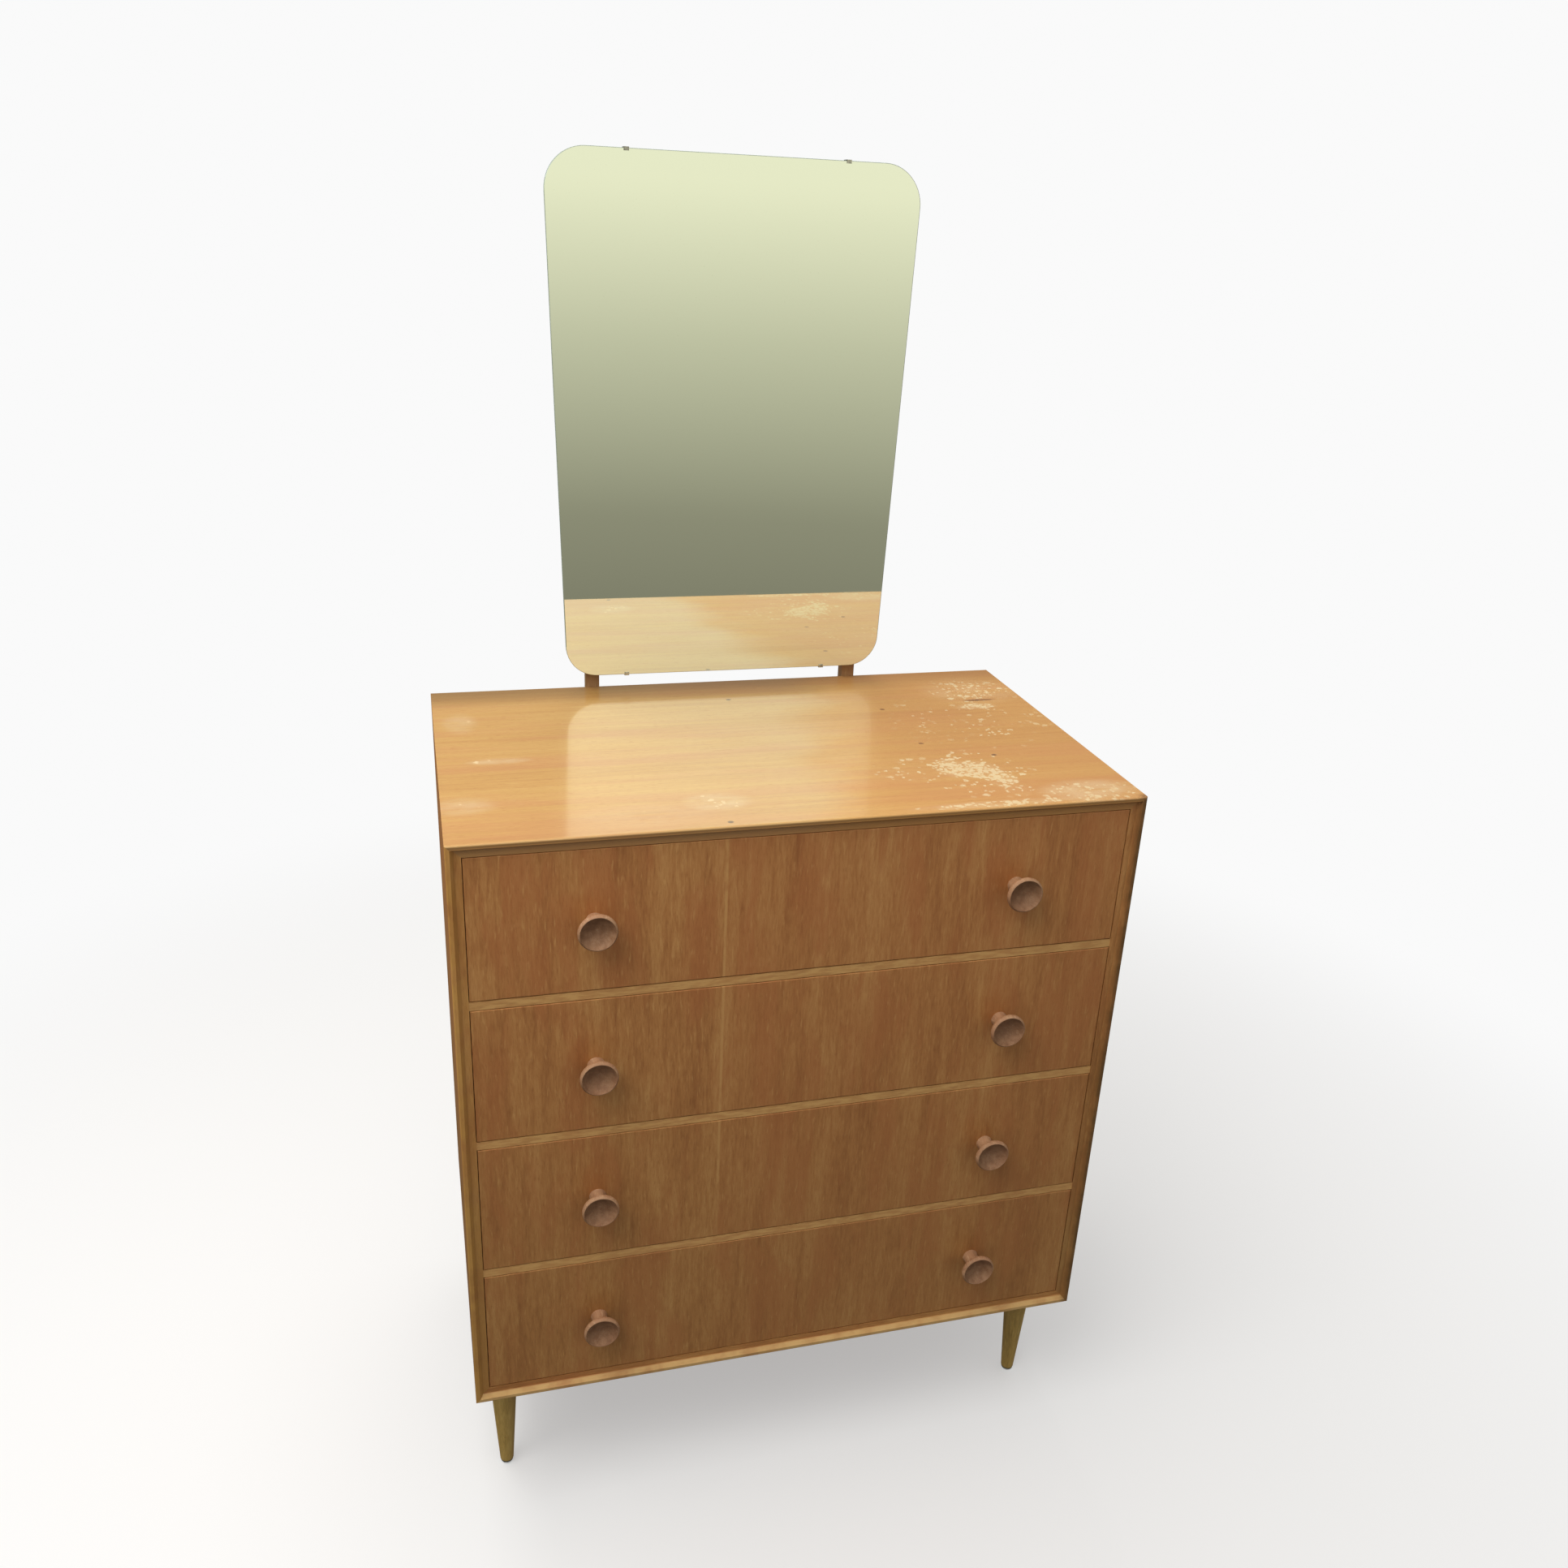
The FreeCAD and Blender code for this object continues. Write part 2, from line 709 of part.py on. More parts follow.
def post(side):
    """Square post, rounded at the top about the pivot."""
    end_y = back_y + post_depth
    corners = [V(0, back_y, pivot_z), V(0, back_y, post_bottom_z),
               V(0, end_y, post_bottom_z), V(0, end_y, pivot_z)]
    outline = [Part.LineSegment(start, end).toShape() for start, end in zip(corners, corners[1:])]
    outline.append(Part.Arc(corners[3], V(0, pivot_y, pivot_z + post_depth / 2), corners[0]).toShape())
    face = Part.Face(Part.Wire(outline))
    face.translate(V(side * post_x - post_width / 2, 0, 0))
    return face.extrude(V(post_width, 0, 0))


def post_screws_and_holes():
    """Countersunk screws through the posts and the back panel into the back rails."""
    length = post_depth + back_panel_thickness + post_screw_bite
    screw = flush_head_screw(post_screw_radius, length, post_screw_head_radius)
    hole = flush_head_hole(post_screw_radius, length, post_screw_head_radius)
    forward = V(0, -1, 0)
    screws = []
    holes = []
    for side in (-1, 1):
        for rail_z in (top_back_rail_z, low_back_rail_z):
            for step in (-1, 1):
                place = V(side * post_x, back_y + post_depth, rail_z + step * post_screw_spread / 2)
                screws.append(aimed(screw, place, forward))
                holes.append(aimed(hole, place, forward))
    return screws, holes


# Mirror

def mirror_sheet(inset, low_y, thickness):
    """Flat sheet with the mirror's outline, drawn in by an inset."""
    low_z = mirror_low_z + inset
    high_z = mirror_low_z + mirror_height - inset
    low_half = mirror_bottom_width / 2 - inset
    high_half = mirror_top_width / 2 - inset
    outline = Part.makePolygon([
        V(-low_half, low_y, low_z),
        V(low_half, low_y, low_z),
        V(high_half, low_y, high_z),
        V(-high_half, low_y, high_z),
        V(-low_half, low_y, low_z),
    ])
    sheet = Part.Face(outline).extrude(V(0, thickness, 0))
    middle_z = (low_z + high_z) / 2
    across = [edge for edge in sheet.Edges if edge.BoundBox.ZLength < edge.BoundBox.YLength
              and edge.BoundBox.XLength < edge.BoundBox.YLength]
    low_edges = [edge for edge in across if edge.CenterOfMass.z < middle_z]
    sheet = sheet.makeFillet(mirror_bottom_corner - inset, low_edges)
    across = [edge for edge in sheet.Edges if edge.BoundBox.ZLength < edge.BoundBox.YLength
              and edge.BoundBox.XLength < edge.BoundBox.YLength]
    high_edges = [edge for edge in across if edge.CenterOfMass.z > middle_z]
    return sheet.makeFillet(mirror_top_corner - inset, high_edges)


def mirror_glass():
    """Glass with its front arris ground off."""
    sheet = mirror_sheet(0, glass_front_y, glass_thickness)
    front_edges = [edge for edge in sheet.Edges if edge.BoundBox.YMax < glass_front_y + glass_arris]
    return sheet.makeChamfer(glass_arris, front_edges)


def clip(side, level):
    """Bent metal clip round the lower (-1) or upper (+1) edge of the glass and its board."""
    x_range = (side * clip_offset - clip_width / 2, side * clip_offset + clip_width / 2)
    edge_z = mirror_low_z if level < 0 else mirror_low_z + mirror_height
    outer_z = edge_z + level * (clip_gap + clip_metal)
    inner_z = edge_z + level * clip_gap
    lip_z = edge_z - level * clip_lip
    tail_z = edge_z - level * clip_tail
    lip_y = (glass_front_y - clip_metal, glass_front_y)
    tail_y = (board_back_y, board_back_y + clip_metal)
    wrap = block(x_range, (lip_y[0], tail_y[1]), sorted((inner_z, outer_z)))
    lip = block(x_range, lip_y, sorted((inner_z, lip_z)))
    tail = block(x_range, tail_y, sorted((inner_z, tail_z)))
    return wrap.fuse([lip, tail]).removeSplitter()


def mirror_screw_places():
    """Clip screw places and bracket screw places, as two lists."""
    clip_places = []
    bracket_places = []
    for side in (-1, 1):
        for level in (-1, 1):
            edge_z = mirror_low_z if level < 0 else mirror_low_z + mirror_height
            middle_tail = edge_z - level * (clip_tail + board_inset) / 2
            clip_places.append(V(side * clip_offset, board_back_y + clip_metal, middle_tail))
        plate_middle = side * (bracket_ear_x() - bracket_width / 2)
        for level in (-1, 1):
            bracket_places.append(V(plate_middle - side * bracket_screw_side_share * bracket_width / 2,
                                    board_back_y + bracket_metal,
                                    pivot_z + level * bracket_screw_height_share * bracket_height))
    return clip_places, bracket_places


def bracket_ear_x():
    """Distance of a bracket ear's outer face from the middle."""
    return post_x - post_width / 2 - bracket_post_gap


def pivot_bracket(side):
    """Bent bracket: plate on the board, ear beside the post with a hole for the pivot."""
    outer_x = side * bracket_ear_x()
    inner_x = side * (bracket_ear_x() - bracket_metal)
    far_x = side * (bracket_ear_x() - bracket_width)
    plate = block(sorted((outer_x, far_x)), (board_back_y, board_back_y + bracket_metal),
                  (pivot_z - bracket_height / 2, pivot_z + bracket_height / 2))
    web = block(sorted((inner_x, outer_x)), (board_back_y, pivot_y),
                (pivot_z - bracket_ear_radius, pivot_z + bracket_ear_radius))
    boss = rod(bracket_ear_radius, V(inner_x, pivot_y, pivot_z), V(side, 0, 0), bracket_metal)
    bore = rod(pivot_screw_radius + pivot_play, V(far_x, pivot_y, pivot_z), V(side, 0, 0),
               bracket_width + overrun)
    return plate.fuse([web, boss]).removeSplitter().cut(bore)


def pivot_screw(side):
    """Screw on which a bracket turns, driven into the inner face of a post."""
    shank = pivot_head_gap + bracket_metal + bracket_post_gap + pivot_screw_bite
    screw = round_head_screw(pivot_screw_radius, shank, pivot_head_radius, pivot_head_height)
    head_x = bracket_ear_x() - bracket_metal - pivot_head_gap
    return aimed(screw, V(side * head_x, pivot_y, pivot_z), V(side, 0, 0))


def pivot_hole(side):
    """Hole of the pivot screw in the inner face of a post."""
    return rod(pivot_screw_radius + fastener_play, V(side * (bracket_ear_x()), pivot_y, pivot_z),
               V(side, 0, 0), bracket_post_gap + pivot_screw_bite + fastener_play)


def build_carcass():
    """Cut and save the carcass, its rails, runners, legs and posts."""
    panels = carcass_panels()
    tongues = mitre_tongues()
    dowels, dowel_holes = dowels_and_holes()
    pins, pin_holes = back_panel_pins()
    runners, runner_screws, runner_holes = runners_and_screws()
    post_screws, post_holes = post_screws_and_holes()
    insert_holes = [moved(insert_hole(), place) for place in leg_places]
    tongue_list = list(tongues.values())

    side_tools = tongue_list + dowel_holes + pin_holes + runner_holes
    save("top_panel", [drilled(panels["top_panel"], tongue_list + pin_holes)])
    save("bottom_panel", [drilled(panels["bottom_panel"], tongue_list + pin_holes + insert_holes)])
    save("left_side_panel", [drilled(panels["left_side_panel"], side_tools)])
    save("right_side_panel", [drilled(panels["right_side_panel"], side_tools)])
    save("back_panel", [drilled(back_panel(), pin_holes + post_holes)])
    for number in range(1, drawer_count):
        save("front_rail_%d" % number, [drilled(front_rail(number), dowel_holes)])
    save("top_back_rail", [drilled(back_rail(top_back_rail_z), dowel_holes + post_holes)])
    save("low_back_rail", [drilled(back_rail(low_back_rail_z), dowel_holes + post_holes)])
    save("mitre_tongues", tongue_list)
    save("rail_dowels", dowels)
    save("back_panel_pins", pins)
    save("drawer_runners", runners)
    save("runner_screws", runner_screws)
    for name, place in zip(leg_names, leg_places):
        save(name, [moved(leg(), place)])
    bolt = rod(leg_bolt_radius, V(0, 0, bolt_low_z), AXIS_Z, leg_bolt_length)
    save("leg_bolts", [moved(bolt, place) for place in leg_places])
    save("leg_inserts", [moved(leg_insert(), place) for place in leg_places])
    save("leg_glides", [moved(glide(), place) for place in leg_places])
    for name, side in (("left_mirror_post", -1), ("right_mirror_post", 1)):
        save(name, [drilled(post(side), post_holes + [pivot_hole(side)])])
    save("post_screws", post_screws)
    save("pivot_screws", [pivot_screw(side) for side in (-1, 1)])


def build_drawers():
    """Cut and save the pieces of every drawer."""
    for number in range(1, drawer_count + 1):
        prefix = "drawer_%d_" % number
        knobs, screws = knobs_and_screws(number)
        save(prefix + "front", [drawer_front(number)])
        save(prefix + "left_side", [drawer_side(number, -1)])
        save(prefix + "right_side", [drawer_side(number, 1)])
        save(prefix + "back", [drawer_back(number)])
        save(prefix + "bottom", [drawer_bottom(number)])
        save(prefix + "knobs", knobs)
        save(prefix + "knob_screws", screws)


def build_mirror():
    """Cut and save the tilting mirror."""
    clip_places, bracket_places = mirror_screw_places()
    forward = V(0, -1, 0)
    screw = round_head_screw(mirror_screw_radius, mirror_screw_bite, mirror_screw_head_radius,
                             mirror_screw_head_height)
    places = clip_places + bracket_places
    screws = [aimed(screw, place, forward) for place in places]
    holes = [rod(mirror_screw_radius + fastener_play, place + AXIS_Y * overrun, forward,
                 mirror_screw_bite + fastener_play + overrun) for place in places]
    board = mirror_sheet(board_inset, board_front_y, board_thickness)
    save("mirror_glass", [mirror_glass()])
    save("mirror_backing_board", [drilled(board, holes)])
    save("mirror_clips", [drilled(clip(side, level), holes) for side in (-1, 1) for level in (-1, 1)])
    save("pivot_brackets", [drilled(pivot_bracket(side), holes) for side in (-1, 1)])
    save("mirror_screws", screws)


build_carcass()
build_drawers()
build_mirror()
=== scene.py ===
"""Looks of a dressing chest: four drawers on turned legs, with a tilting mirror on two posts.

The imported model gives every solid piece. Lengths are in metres; X runs to the right, Y to the back
and Z up from the floor.
"""

import json
import logging
from collections.abc import Iterable, Mapping, Sequence
from dataclasses import dataclass
from enum import Enum
from functools import reduce
from math import radians
from typing import Any

import bpy
import numpy as np
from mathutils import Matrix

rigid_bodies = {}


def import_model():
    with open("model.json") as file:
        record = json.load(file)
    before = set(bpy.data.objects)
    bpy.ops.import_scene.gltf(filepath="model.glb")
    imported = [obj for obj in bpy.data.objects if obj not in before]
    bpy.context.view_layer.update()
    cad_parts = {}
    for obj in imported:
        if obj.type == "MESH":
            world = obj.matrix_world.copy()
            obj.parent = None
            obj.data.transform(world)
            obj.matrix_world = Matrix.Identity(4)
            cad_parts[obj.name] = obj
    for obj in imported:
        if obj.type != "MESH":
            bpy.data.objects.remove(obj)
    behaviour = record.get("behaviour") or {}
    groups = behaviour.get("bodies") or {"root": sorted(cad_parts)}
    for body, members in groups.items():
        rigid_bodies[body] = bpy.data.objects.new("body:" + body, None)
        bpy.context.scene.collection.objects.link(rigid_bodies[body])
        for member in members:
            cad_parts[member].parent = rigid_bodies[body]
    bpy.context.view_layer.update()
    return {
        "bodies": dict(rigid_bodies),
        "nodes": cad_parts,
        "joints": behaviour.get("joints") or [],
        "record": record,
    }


LOG = logging.getLogger("dressing_chest")

Colour = tuple[float, float, float]
Triple = tuple[float, float, float]
Span = tuple[float, float]
Stop = tuple[float, Colour]

WHITE = (1.0, 1.0, 1.0, 1.0)


def shade(red: int, green: int, blue: int) -> Colour:
    """Linear colour of an 8-bit display colour.

    With c = value / 255, the linear value is c / 12.92 up to 0.04045, and ((c + 0.055) / 1.055) to
    the power 2.4 above it.

    Args:
        red: Display red, 0 to 255.
        green: Display green, 0 to 255.
        blue: Display blue, 0 to 255.

    Returns:
        The three linear values.
    """
    display = np.array([red, green, blue], float) / 255
    linear = np.where(display <= 0.04045, display / 12.92, ((display + 0.055) / 1.055) ** 2.4)
    return float(linear[0]), float(linear[1]), float(linear[2])


class Grain(Enum):
    """Direction in which the fibres of a piece of wood run, as the number of that axis."""

    ALONG_X = 0
    ALONG_Y = 1
    ALONG_Z = 2

    def stretch(self, across: float, along: float) -> Triple:
        """Scale of a pattern with one feature per `across` metres, drawn out to `along` on the grain.

        Args:
            across: Width of a feature over the grain.
            along: Length of a feature on the grain.

        Returns:
            Features per metre on X, Y and Z.
        """
        scale = [1 / across] * 3
        scale[self.value] = 1 / along
        return scale[0], scale[1], scale[2]


@dataclass(frozen=True)
class Signal:
    """One output socket of a shader graph, used as a value in Python expressions."""

    graph: "Graph"
    socket: bpy.types.NodeSocket

    def _math(self, operation: str, first: "Operand", second: "Operand" = 0.0) -> "Signal":
        """Adds one Math node and returns its result."""
        return self.graph.signal("ShaderNodeMath", {"operation": operation}, {0: first, 1: second})

    def __add__(self, other: "Operand") -> "Signal":
        """Sum."""
        return self._math("ADD", self, other)

    def __radd__(self, other: "Operand") -> "Signal":
        """Sum, number first."""
        return self._math("ADD", other, self)

    def __sub__(self, other: "Operand") -> "Signal":
        """Difference."""
        return self._math("SUBTRACT", self, other)

    def __rsub__(self, other: "Operand") -> "Signal":
        """Difference, number first."""
        return self._math("SUBTRACT", other, self)

    def __mul__(self, other: "Operand") -> "Signal":
        """Product."""
        return self._math("MULTIPLY", self, other)

    def __abs__(self) -> "Signal":
        """Size without its sign."""
        return self._math("ABSOLUTE", self)

    def most(self, other: "Operand") -> "Signal":
        """Larger of two values."""
        return self._math("MAXIMUM", self, other)

    def least(self, other: "Operand") -> "Signal":
        """Smaller of two values."""
        return self._math("MINIMUM", self, other)

    def rise(self, low: float, high: float) -> "Signal":
        """Smooth step: 0 below `low`, 1 above `high`; falls instead where `low` is the larger.

        Args:
            low: Value at which the result is 0.
            high: Value at which the result is 1.

        Returns:
            The step's value, with t * t * (3 - 2 * t) in between.
        """
        if low > high:
            return 1 - self.rise(high, low)
        settings = {"interpolation_type": "SMOOTHSTEP"}
        return self.graph.signal("ShaderNodeMapRange", settings, {0: self, 1: low, 2: high})


Operand = Signal | float


class Graph:
    """Adds nodes to one node tree and hands their sockets back as signals."""

    def __init__(self, tree: bpy.types.NodeTree) -> None:
        """Starts from an empty tree.

        Args:
            tree: Node tree of a material or of the world.
        """
        self.tree = tree
        self.tree.nodes.clear()
        self._place: Signal | None = None
        self._axes: list[Signal] = []

    def node(self, kind: str, settings: Mapping[str, Any] | None = None,
             inputs: Mapping[int | str, Any] | None = None) -> bpy.types.Node:
        """Adds a node, sets its options first and then feeds its sockets.

        Args:
            kind: Blender's name of the node's type.
            settings: Options by name; `stops` holds a ramp's (position, colour) pairs.
            inputs: Values or signals by the socket's name or number.

        Returns:
            The new node.
        """
        made = self.tree.nodes.new(kind)
        for key, value in (settings or {}).items():
            if key == "stops":
                self._set_stops(made.color_ramp, value)
            else:
                setattr(made, key, value)
        for key, value in (inputs or {}).items():
            if isinstance(value, Signal):
                self.tree.links.new(value.socket, made.inputs[key])
            else:
                made.inputs[key].default_value = value
        return made

    def _set_stops(self, ramp: bpy.types.ColorRamp, stops: Sequence[Stop]) -> None:
        """Gives a colour ramp its stops.

        Args:
            ramp: The ramp.
            stops: Positions and colours, lowest position first.
        """
        while len(ramp.elements) < len(stops):
            ramp.elements.new(0.5)
        for element, (position, colour) in zip(ramp.elements, stops):
            element.position = position
            element.color = (*colour, 1.0)

    def signal(self, kind: str, settings: Mapping[str, Any] | None = None,
               inputs: Mapping[int | str, Any] | None = None, output: int | str = 0) -> Signal:
        """Adds a node and returns one of its outputs.

        Args:
            kind: Blender's name of the node's type.
            settings: Options by name.
            inputs: Values or signals by the socket's name or number.
            output: Name or number of the output.

        Returns:
            That output as a signal.
        """
        return Signal(self, self.node(kind, settings, inputs).outputs[output])

    def place(self) -> Signal:
        """Point of the surface in the object's own coordinates, in metres.

        Returns:
            That point; its node is made once.
        """
        if self._place is None:
            self._place = self.signal("ShaderNodeTexCoord", output="Object")
        return self._place

    def axis(self, number: int) -> Signal:
        """One coordinate of the surface point.

        Args:
            number: 0 for X, 1 for Y and 2 for Z.

        Returns:
            That coordinate in metres.
        """
        if not self._axes:
            split = self.node("ShaderNodeSeparateXYZ", inputs={0: self.place()})
            self._axes = [Signal(self, split.outputs[index]) for index in range(3)]
        return self._axes[number]

    def noise(self, stretch: Triple, detail: float = 2.0, rough: float = 0.5,
              shift: Triple = (0.0, 0.0, 0.0), bend: float = 0.0) -> Signal:
        """Soft noise over the object's coordinates.

        Args:
            stretch: Features per metre on each axis.
            detail: Number of finer layers.
            rough: Weight of the finer layers.
            shift: Offset of the pattern, in features.
            bend: How far the pattern is distorted.

        Returns:
            Noise of about 0.3 to 0.7 around 0.5.
        """
        spread = self.signal("ShaderNodeMapping", None,
                             {"Vector": self.place(), "Scale": stretch, "Location": shift})
        return self.signal("ShaderNodeTexNoise", None,
                           {"Vector": spread, "Scale": 1.0, "Detail": detail, "Roughness": rough,
                            "Distortion": bend})

    def cells(self, spacing: float, warp: float, ripples: float = 1.6,
              size_spread: float = 0.22) -> tuple[Signal, Signal]:
        """Scattered dots of many sizes over X and Y: a Voronoi pattern whose edges a noise makes ragged.

        Args:
            spacing: Mean distance between the dots, in metres.
            warp: How far the noise moves the pattern, in metres.
            ripples: Features of the noise in each spacing.
            size_spread: How much smaller the smallest dot is than the largest, in spacings.

        Returns:
            The distance to the nearest dot's centre, in spacings and more for a small dot, and that
            dot's own random share.
        """
        stir = self.signal("ShaderNodeTexNoise", None,
                           {"Vector": self.place(), "Scale": ripples / spacing, "Detail": 2.0}, "Color")
        moved = self.signal("ShaderNodeVectorMath", {"operation": "MULTIPLY_ADD"},
                            {0: stir, 1: (warp, warp, 0.0), 2: self.place()})
        dots = self.node("ShaderNodeTexVoronoi", {"voronoi_dimensions": "2D"},
                         {"Vector": moved, "Scale": 1 / spacing})
        own = self.node("ShaderNodeSeparateXYZ", inputs={0: Signal(self, dots.outputs["Color"])})
        apart = Signal(self, dots.outputs["Distance"]) + Signal(self, own.outputs[1]) * size_spread
        return apart, Signal(self, own.outputs[0])

    def mix(self, factor: Operand, first: Signal | Colour, second: Signal | Colour) -> Signal:
        """Blends two colours.

        Args:
            factor: Share of the second colour.
            first: Colour at 0.
            second: Colour at 1.

        Returns:
            The blended colour.
        """
        settings = {"data_type": "RGBA", "clamp_factor": True}
        sides = [side if isinstance(side, Signal) else (*side, 1.0) for side in (first, second)]
        return self.signal("ShaderNodeMix", settings, {0: factor, 6: sides[0], 7: sides[1]}, 2)

    def ramp(self, value: Signal, *stops: Stop) -> Signal:
        """Colour read off a row of (position, colour) stops."""
        return self.signal("ShaderNodeValToRGB", {"stops": stops}, {0: value})

    def spot(self, centre: tuple[float, float], radii: tuple[float, float],
             axes: tuple[int, int] = (0, 1)) -> Signal:
        """Squared distance from an ellipse's centre, counted in its radii.

        Args:
            centre: Centre on the two axes.
            radii: Half widths on the two axes.
            axes: Numbers of the two axes.

        Returns:
            ((a - a0) / ra) squared plus ((b - b0) / rb) squared: 0 at the centre and 1 on the ellipse.
        """
        parts = [(self.axis(axis) - middle) * (1 / radius)
                 for axis, middle, radius in zip(axes, centre, radii)]
        return parts[0] * parts[0] + parts[1] * parts[1]


@dataclass
class Surface:
    """What a finish works out at each point of a surface."""

    colour: Signal
    roughness: Operand
    relief: Signal
    metallic: Operand = 0.0
    coat: Operand | None = None


class Finish:
    """A look that a material is made from. Each kind works out its surface in `surface`."""

    name: str
    bump_depth: float = 0.0002
    bump_strength: float = 0.5
    coat: float = 0.0
    coat_roughness: float = 0.1
    coat_ior: float = 1.5
    ior: float = 1.5

    def surface(self, graph: Graph) -> Surface:
        """Colour, roughness and relief at each point."""
        raise NotImplementedError

    def shader(self, graph: Graph) -> Signal:
        """Turns the worked-out surface into a Principled shader with its bump.

        Args:
            graph: The material's graph.

        Returns:
            The shader. Only its colour, roughness, metallic, coat weight and normal vary.
        """
        look = self.surface(graph)
        coat = self.coat if look.coat is None else look.coat
        bump = graph.signal("ShaderNodeBump", None,
                            {"Strength": self.bump_strength, "Distance": self.bump_depth,
                             "Height": look.relief})
        return graph.signal("ShaderNodeBsdfPrincipled", None,
                            {"Base Color": look.colour, "Roughness": look.roughness,
                             "Metallic": look.metallic, "Coat Weight": coat,
                             "Coat Roughness": self.coat_roughness, "Coat IOR": self.coat_ior,
                             "IOR": self.ior, "Normal": bump})

    def material(self) -> bpy.types.Material:
        """Makes the material, or returns it if it is made already.

        Returns:
            The material of this finish's name.
        """
        known = bpy.data.materials.get(self.name)
        if known is not None:
            return known
        made = bpy.data.materials.new(self.name)
        made.use_nodes = True
        graph = Graph(made.node_tree)
        graph.node("ShaderNodeOutputMaterial", None, {"Surface": self.shader(graph)})
        return made


@dataclass(frozen=True)
class Palette:
    """Colours of one wood: its dark and light lines, the tone between them and a ruddier one."""

    dark: Colour
    middle: Colour
    light: Colour
    ruddy: Colour


TEAK = Palette(shade(155, 98, 53), shade(186, 128, 73), shade(208, 156, 95), shade(181, 113, 65))
TOP_TEAK = Palette(shade(179, 121, 68), shade(206, 159, 91), shade(222, 183, 113), shade(203, 143, 92))
KNOB_TEAK = Palette(shade(144, 104, 76), shade(174, 132, 98), shade(194, 156, 122), shade(168, 122, 90))
POST_TEAK = Palette(shade(134, 99, 65), shade(162, 125, 83), shade(186, 150, 103), shade(157, 113, 77))
LEG_BEECH = Palette(shade(152, 123, 62), shade(192, 157, 84), shade(214, 182, 108), shade(186, 146, 79))
INNER_BEECH = Palette(shade(188, 152, 108), shade(210, 178, 136), shade(226, 200, 162),
                      shade(206, 166, 128))


LOW_SHADE_TONE = shade(129, 103, 56)
LOW_SHADE_HEIGHT: Span = (0.85, 0.2)
DRAWER_FACE_Y = -0.22125
KNOB_OFFSET = 0.235
KNOB_LOWEST = 0.277
KNOB_STEP = 0.1755


def add_low_shade(graph: Graph, colour: Signal, share: float) -> Signal:
    """Mixes painted shade into a wood's colour: none near the top, and by `share` near the floor.

    Args:
        graph: The material's graph.
        colour: Colour of the wood.
        share: Share of the painted shade's tone at its most.

    Returns:
        The mixed colour.
    """
    # Painted shade: the wood grows darker towards the floor.
    return graph.mix(graph.axis(2).rise(*LOW_SHADE_HEIGHT) * share, colour, LOW_SHADE_TONE)


@dataclass(frozen=True)
class Wood(Finish):
    """Wood with ribbon stripes, fibres, pores and light flecks drawn out along its grain.

    The tone is one half plus a weighted sum of three noises, broad bands, ribbon stripes and fine
    fibres, each less one half. A ramp turns it into colour, a fourth noise makes it ruddier in
    bands, pores darken it and flecks lighten it.
    """

    name: str
    grain: Grain
    palette: Palette = TEAK
    tone_stops: Triple = (0.22, 0.5, 0.8)
    contrast: float = 0.8
    band_width: float = 0.045
    band_length: float = 0.4
    band_share: float = 0.8
    stripe_width: float = 0.009
    stripe_length: float = 0.1
    stripe_share: float = 0.95
    fibre_width: float = 0.0028
    fibre_length: float = 0.019
    fibre_share: float = 0.8
    hue_width: float = 0.038
    hue_length: float = 0.15
    hue_span: Span = (0.43, 0.63)
    hue_share: float = 0.6
    pore_width: float = 0.001
    pore_length: float = 0.009
    pore_span: Span = (0.58, 0.7)
    pore_share: float = 0.5
    fleck_width: float = 0.003
    fleck_length: float = 0.022
    fleck_span: Span = (0.58, 0.74)
    fleck_share: float = 0.85
    sheen_roughness: float = 0.5
    coat: float = 0.0
    coat_roughness: float = 0.25
    coat_ior: float = 1.5
    bump_depth: float = 0.00025
    bump_strength: float = 0.35

    def surface(self, graph: Graph) -> Surface:
        """Colour, roughness and relief of the bare wood.

        Args:
            graph: The material's graph.

        Returns:
            The wood at each point.
        """
        grain, palette = self.grain, self.palette
        bands = graph.noise(grain.stretch(self.band_width, self.band_length), 2.0, 0.5, bend=0.3)
        stripes = graph.noise(grain.stretch(self.stripe_width, self.stripe_length), 4.0, 0.62, bend=0.15)
        fibres = graph.noise(grain.stretch(self.fibre_width, self.fibre_length), 3.0, 0.6)
        hue = graph.noise(grain.stretch(self.hue_width, self.hue_length), 4.0, 0.62, (7.1, 3.3, 5.9), 0.3)
        pores = graph.noise(grain.stretch(self.pore_width, self.pore_length), 1.0, 0.5, (2.7, 9.1, 4.3))
        flecks = graph.noise(grain.stretch(self.fleck_width, self.fleck_length), 2.0, 0.55,
                             (8.3, 1.7, 6.1))
        tone = (0.5 + (bands - 0.5) * (self.band_share * self.contrast)
                + (stripes - 0.5) * (self.stripe_share * self.contrast)
                + (fibres - 0.5) * (self.fibre_share * self.contrast))
        colour = graph.ramp(tone, *zip(self.tone_stops, (palette.dark, palette.middle, palette.light)))
        colour = graph.mix(hue.rise(*self.hue_span) * self.hue_share, colour, palette.ruddy)
        pore = pores.rise(*self.pore_span) * self.pore_share
        fleck = flecks.rise(*self.fleck_span) * self.fleck_share
        colour = graph.mix(pore * 0.7, colour, palette.dark)
        colour = graph.mix(fleck * 0.7, colour, palette.light)
        rough = self.sheen_roughness + (fibres - 0.5) * 0.25 + pore * 0.15
        return Surface(colour, rough, fibres * 0.5 - pore * 0.9)


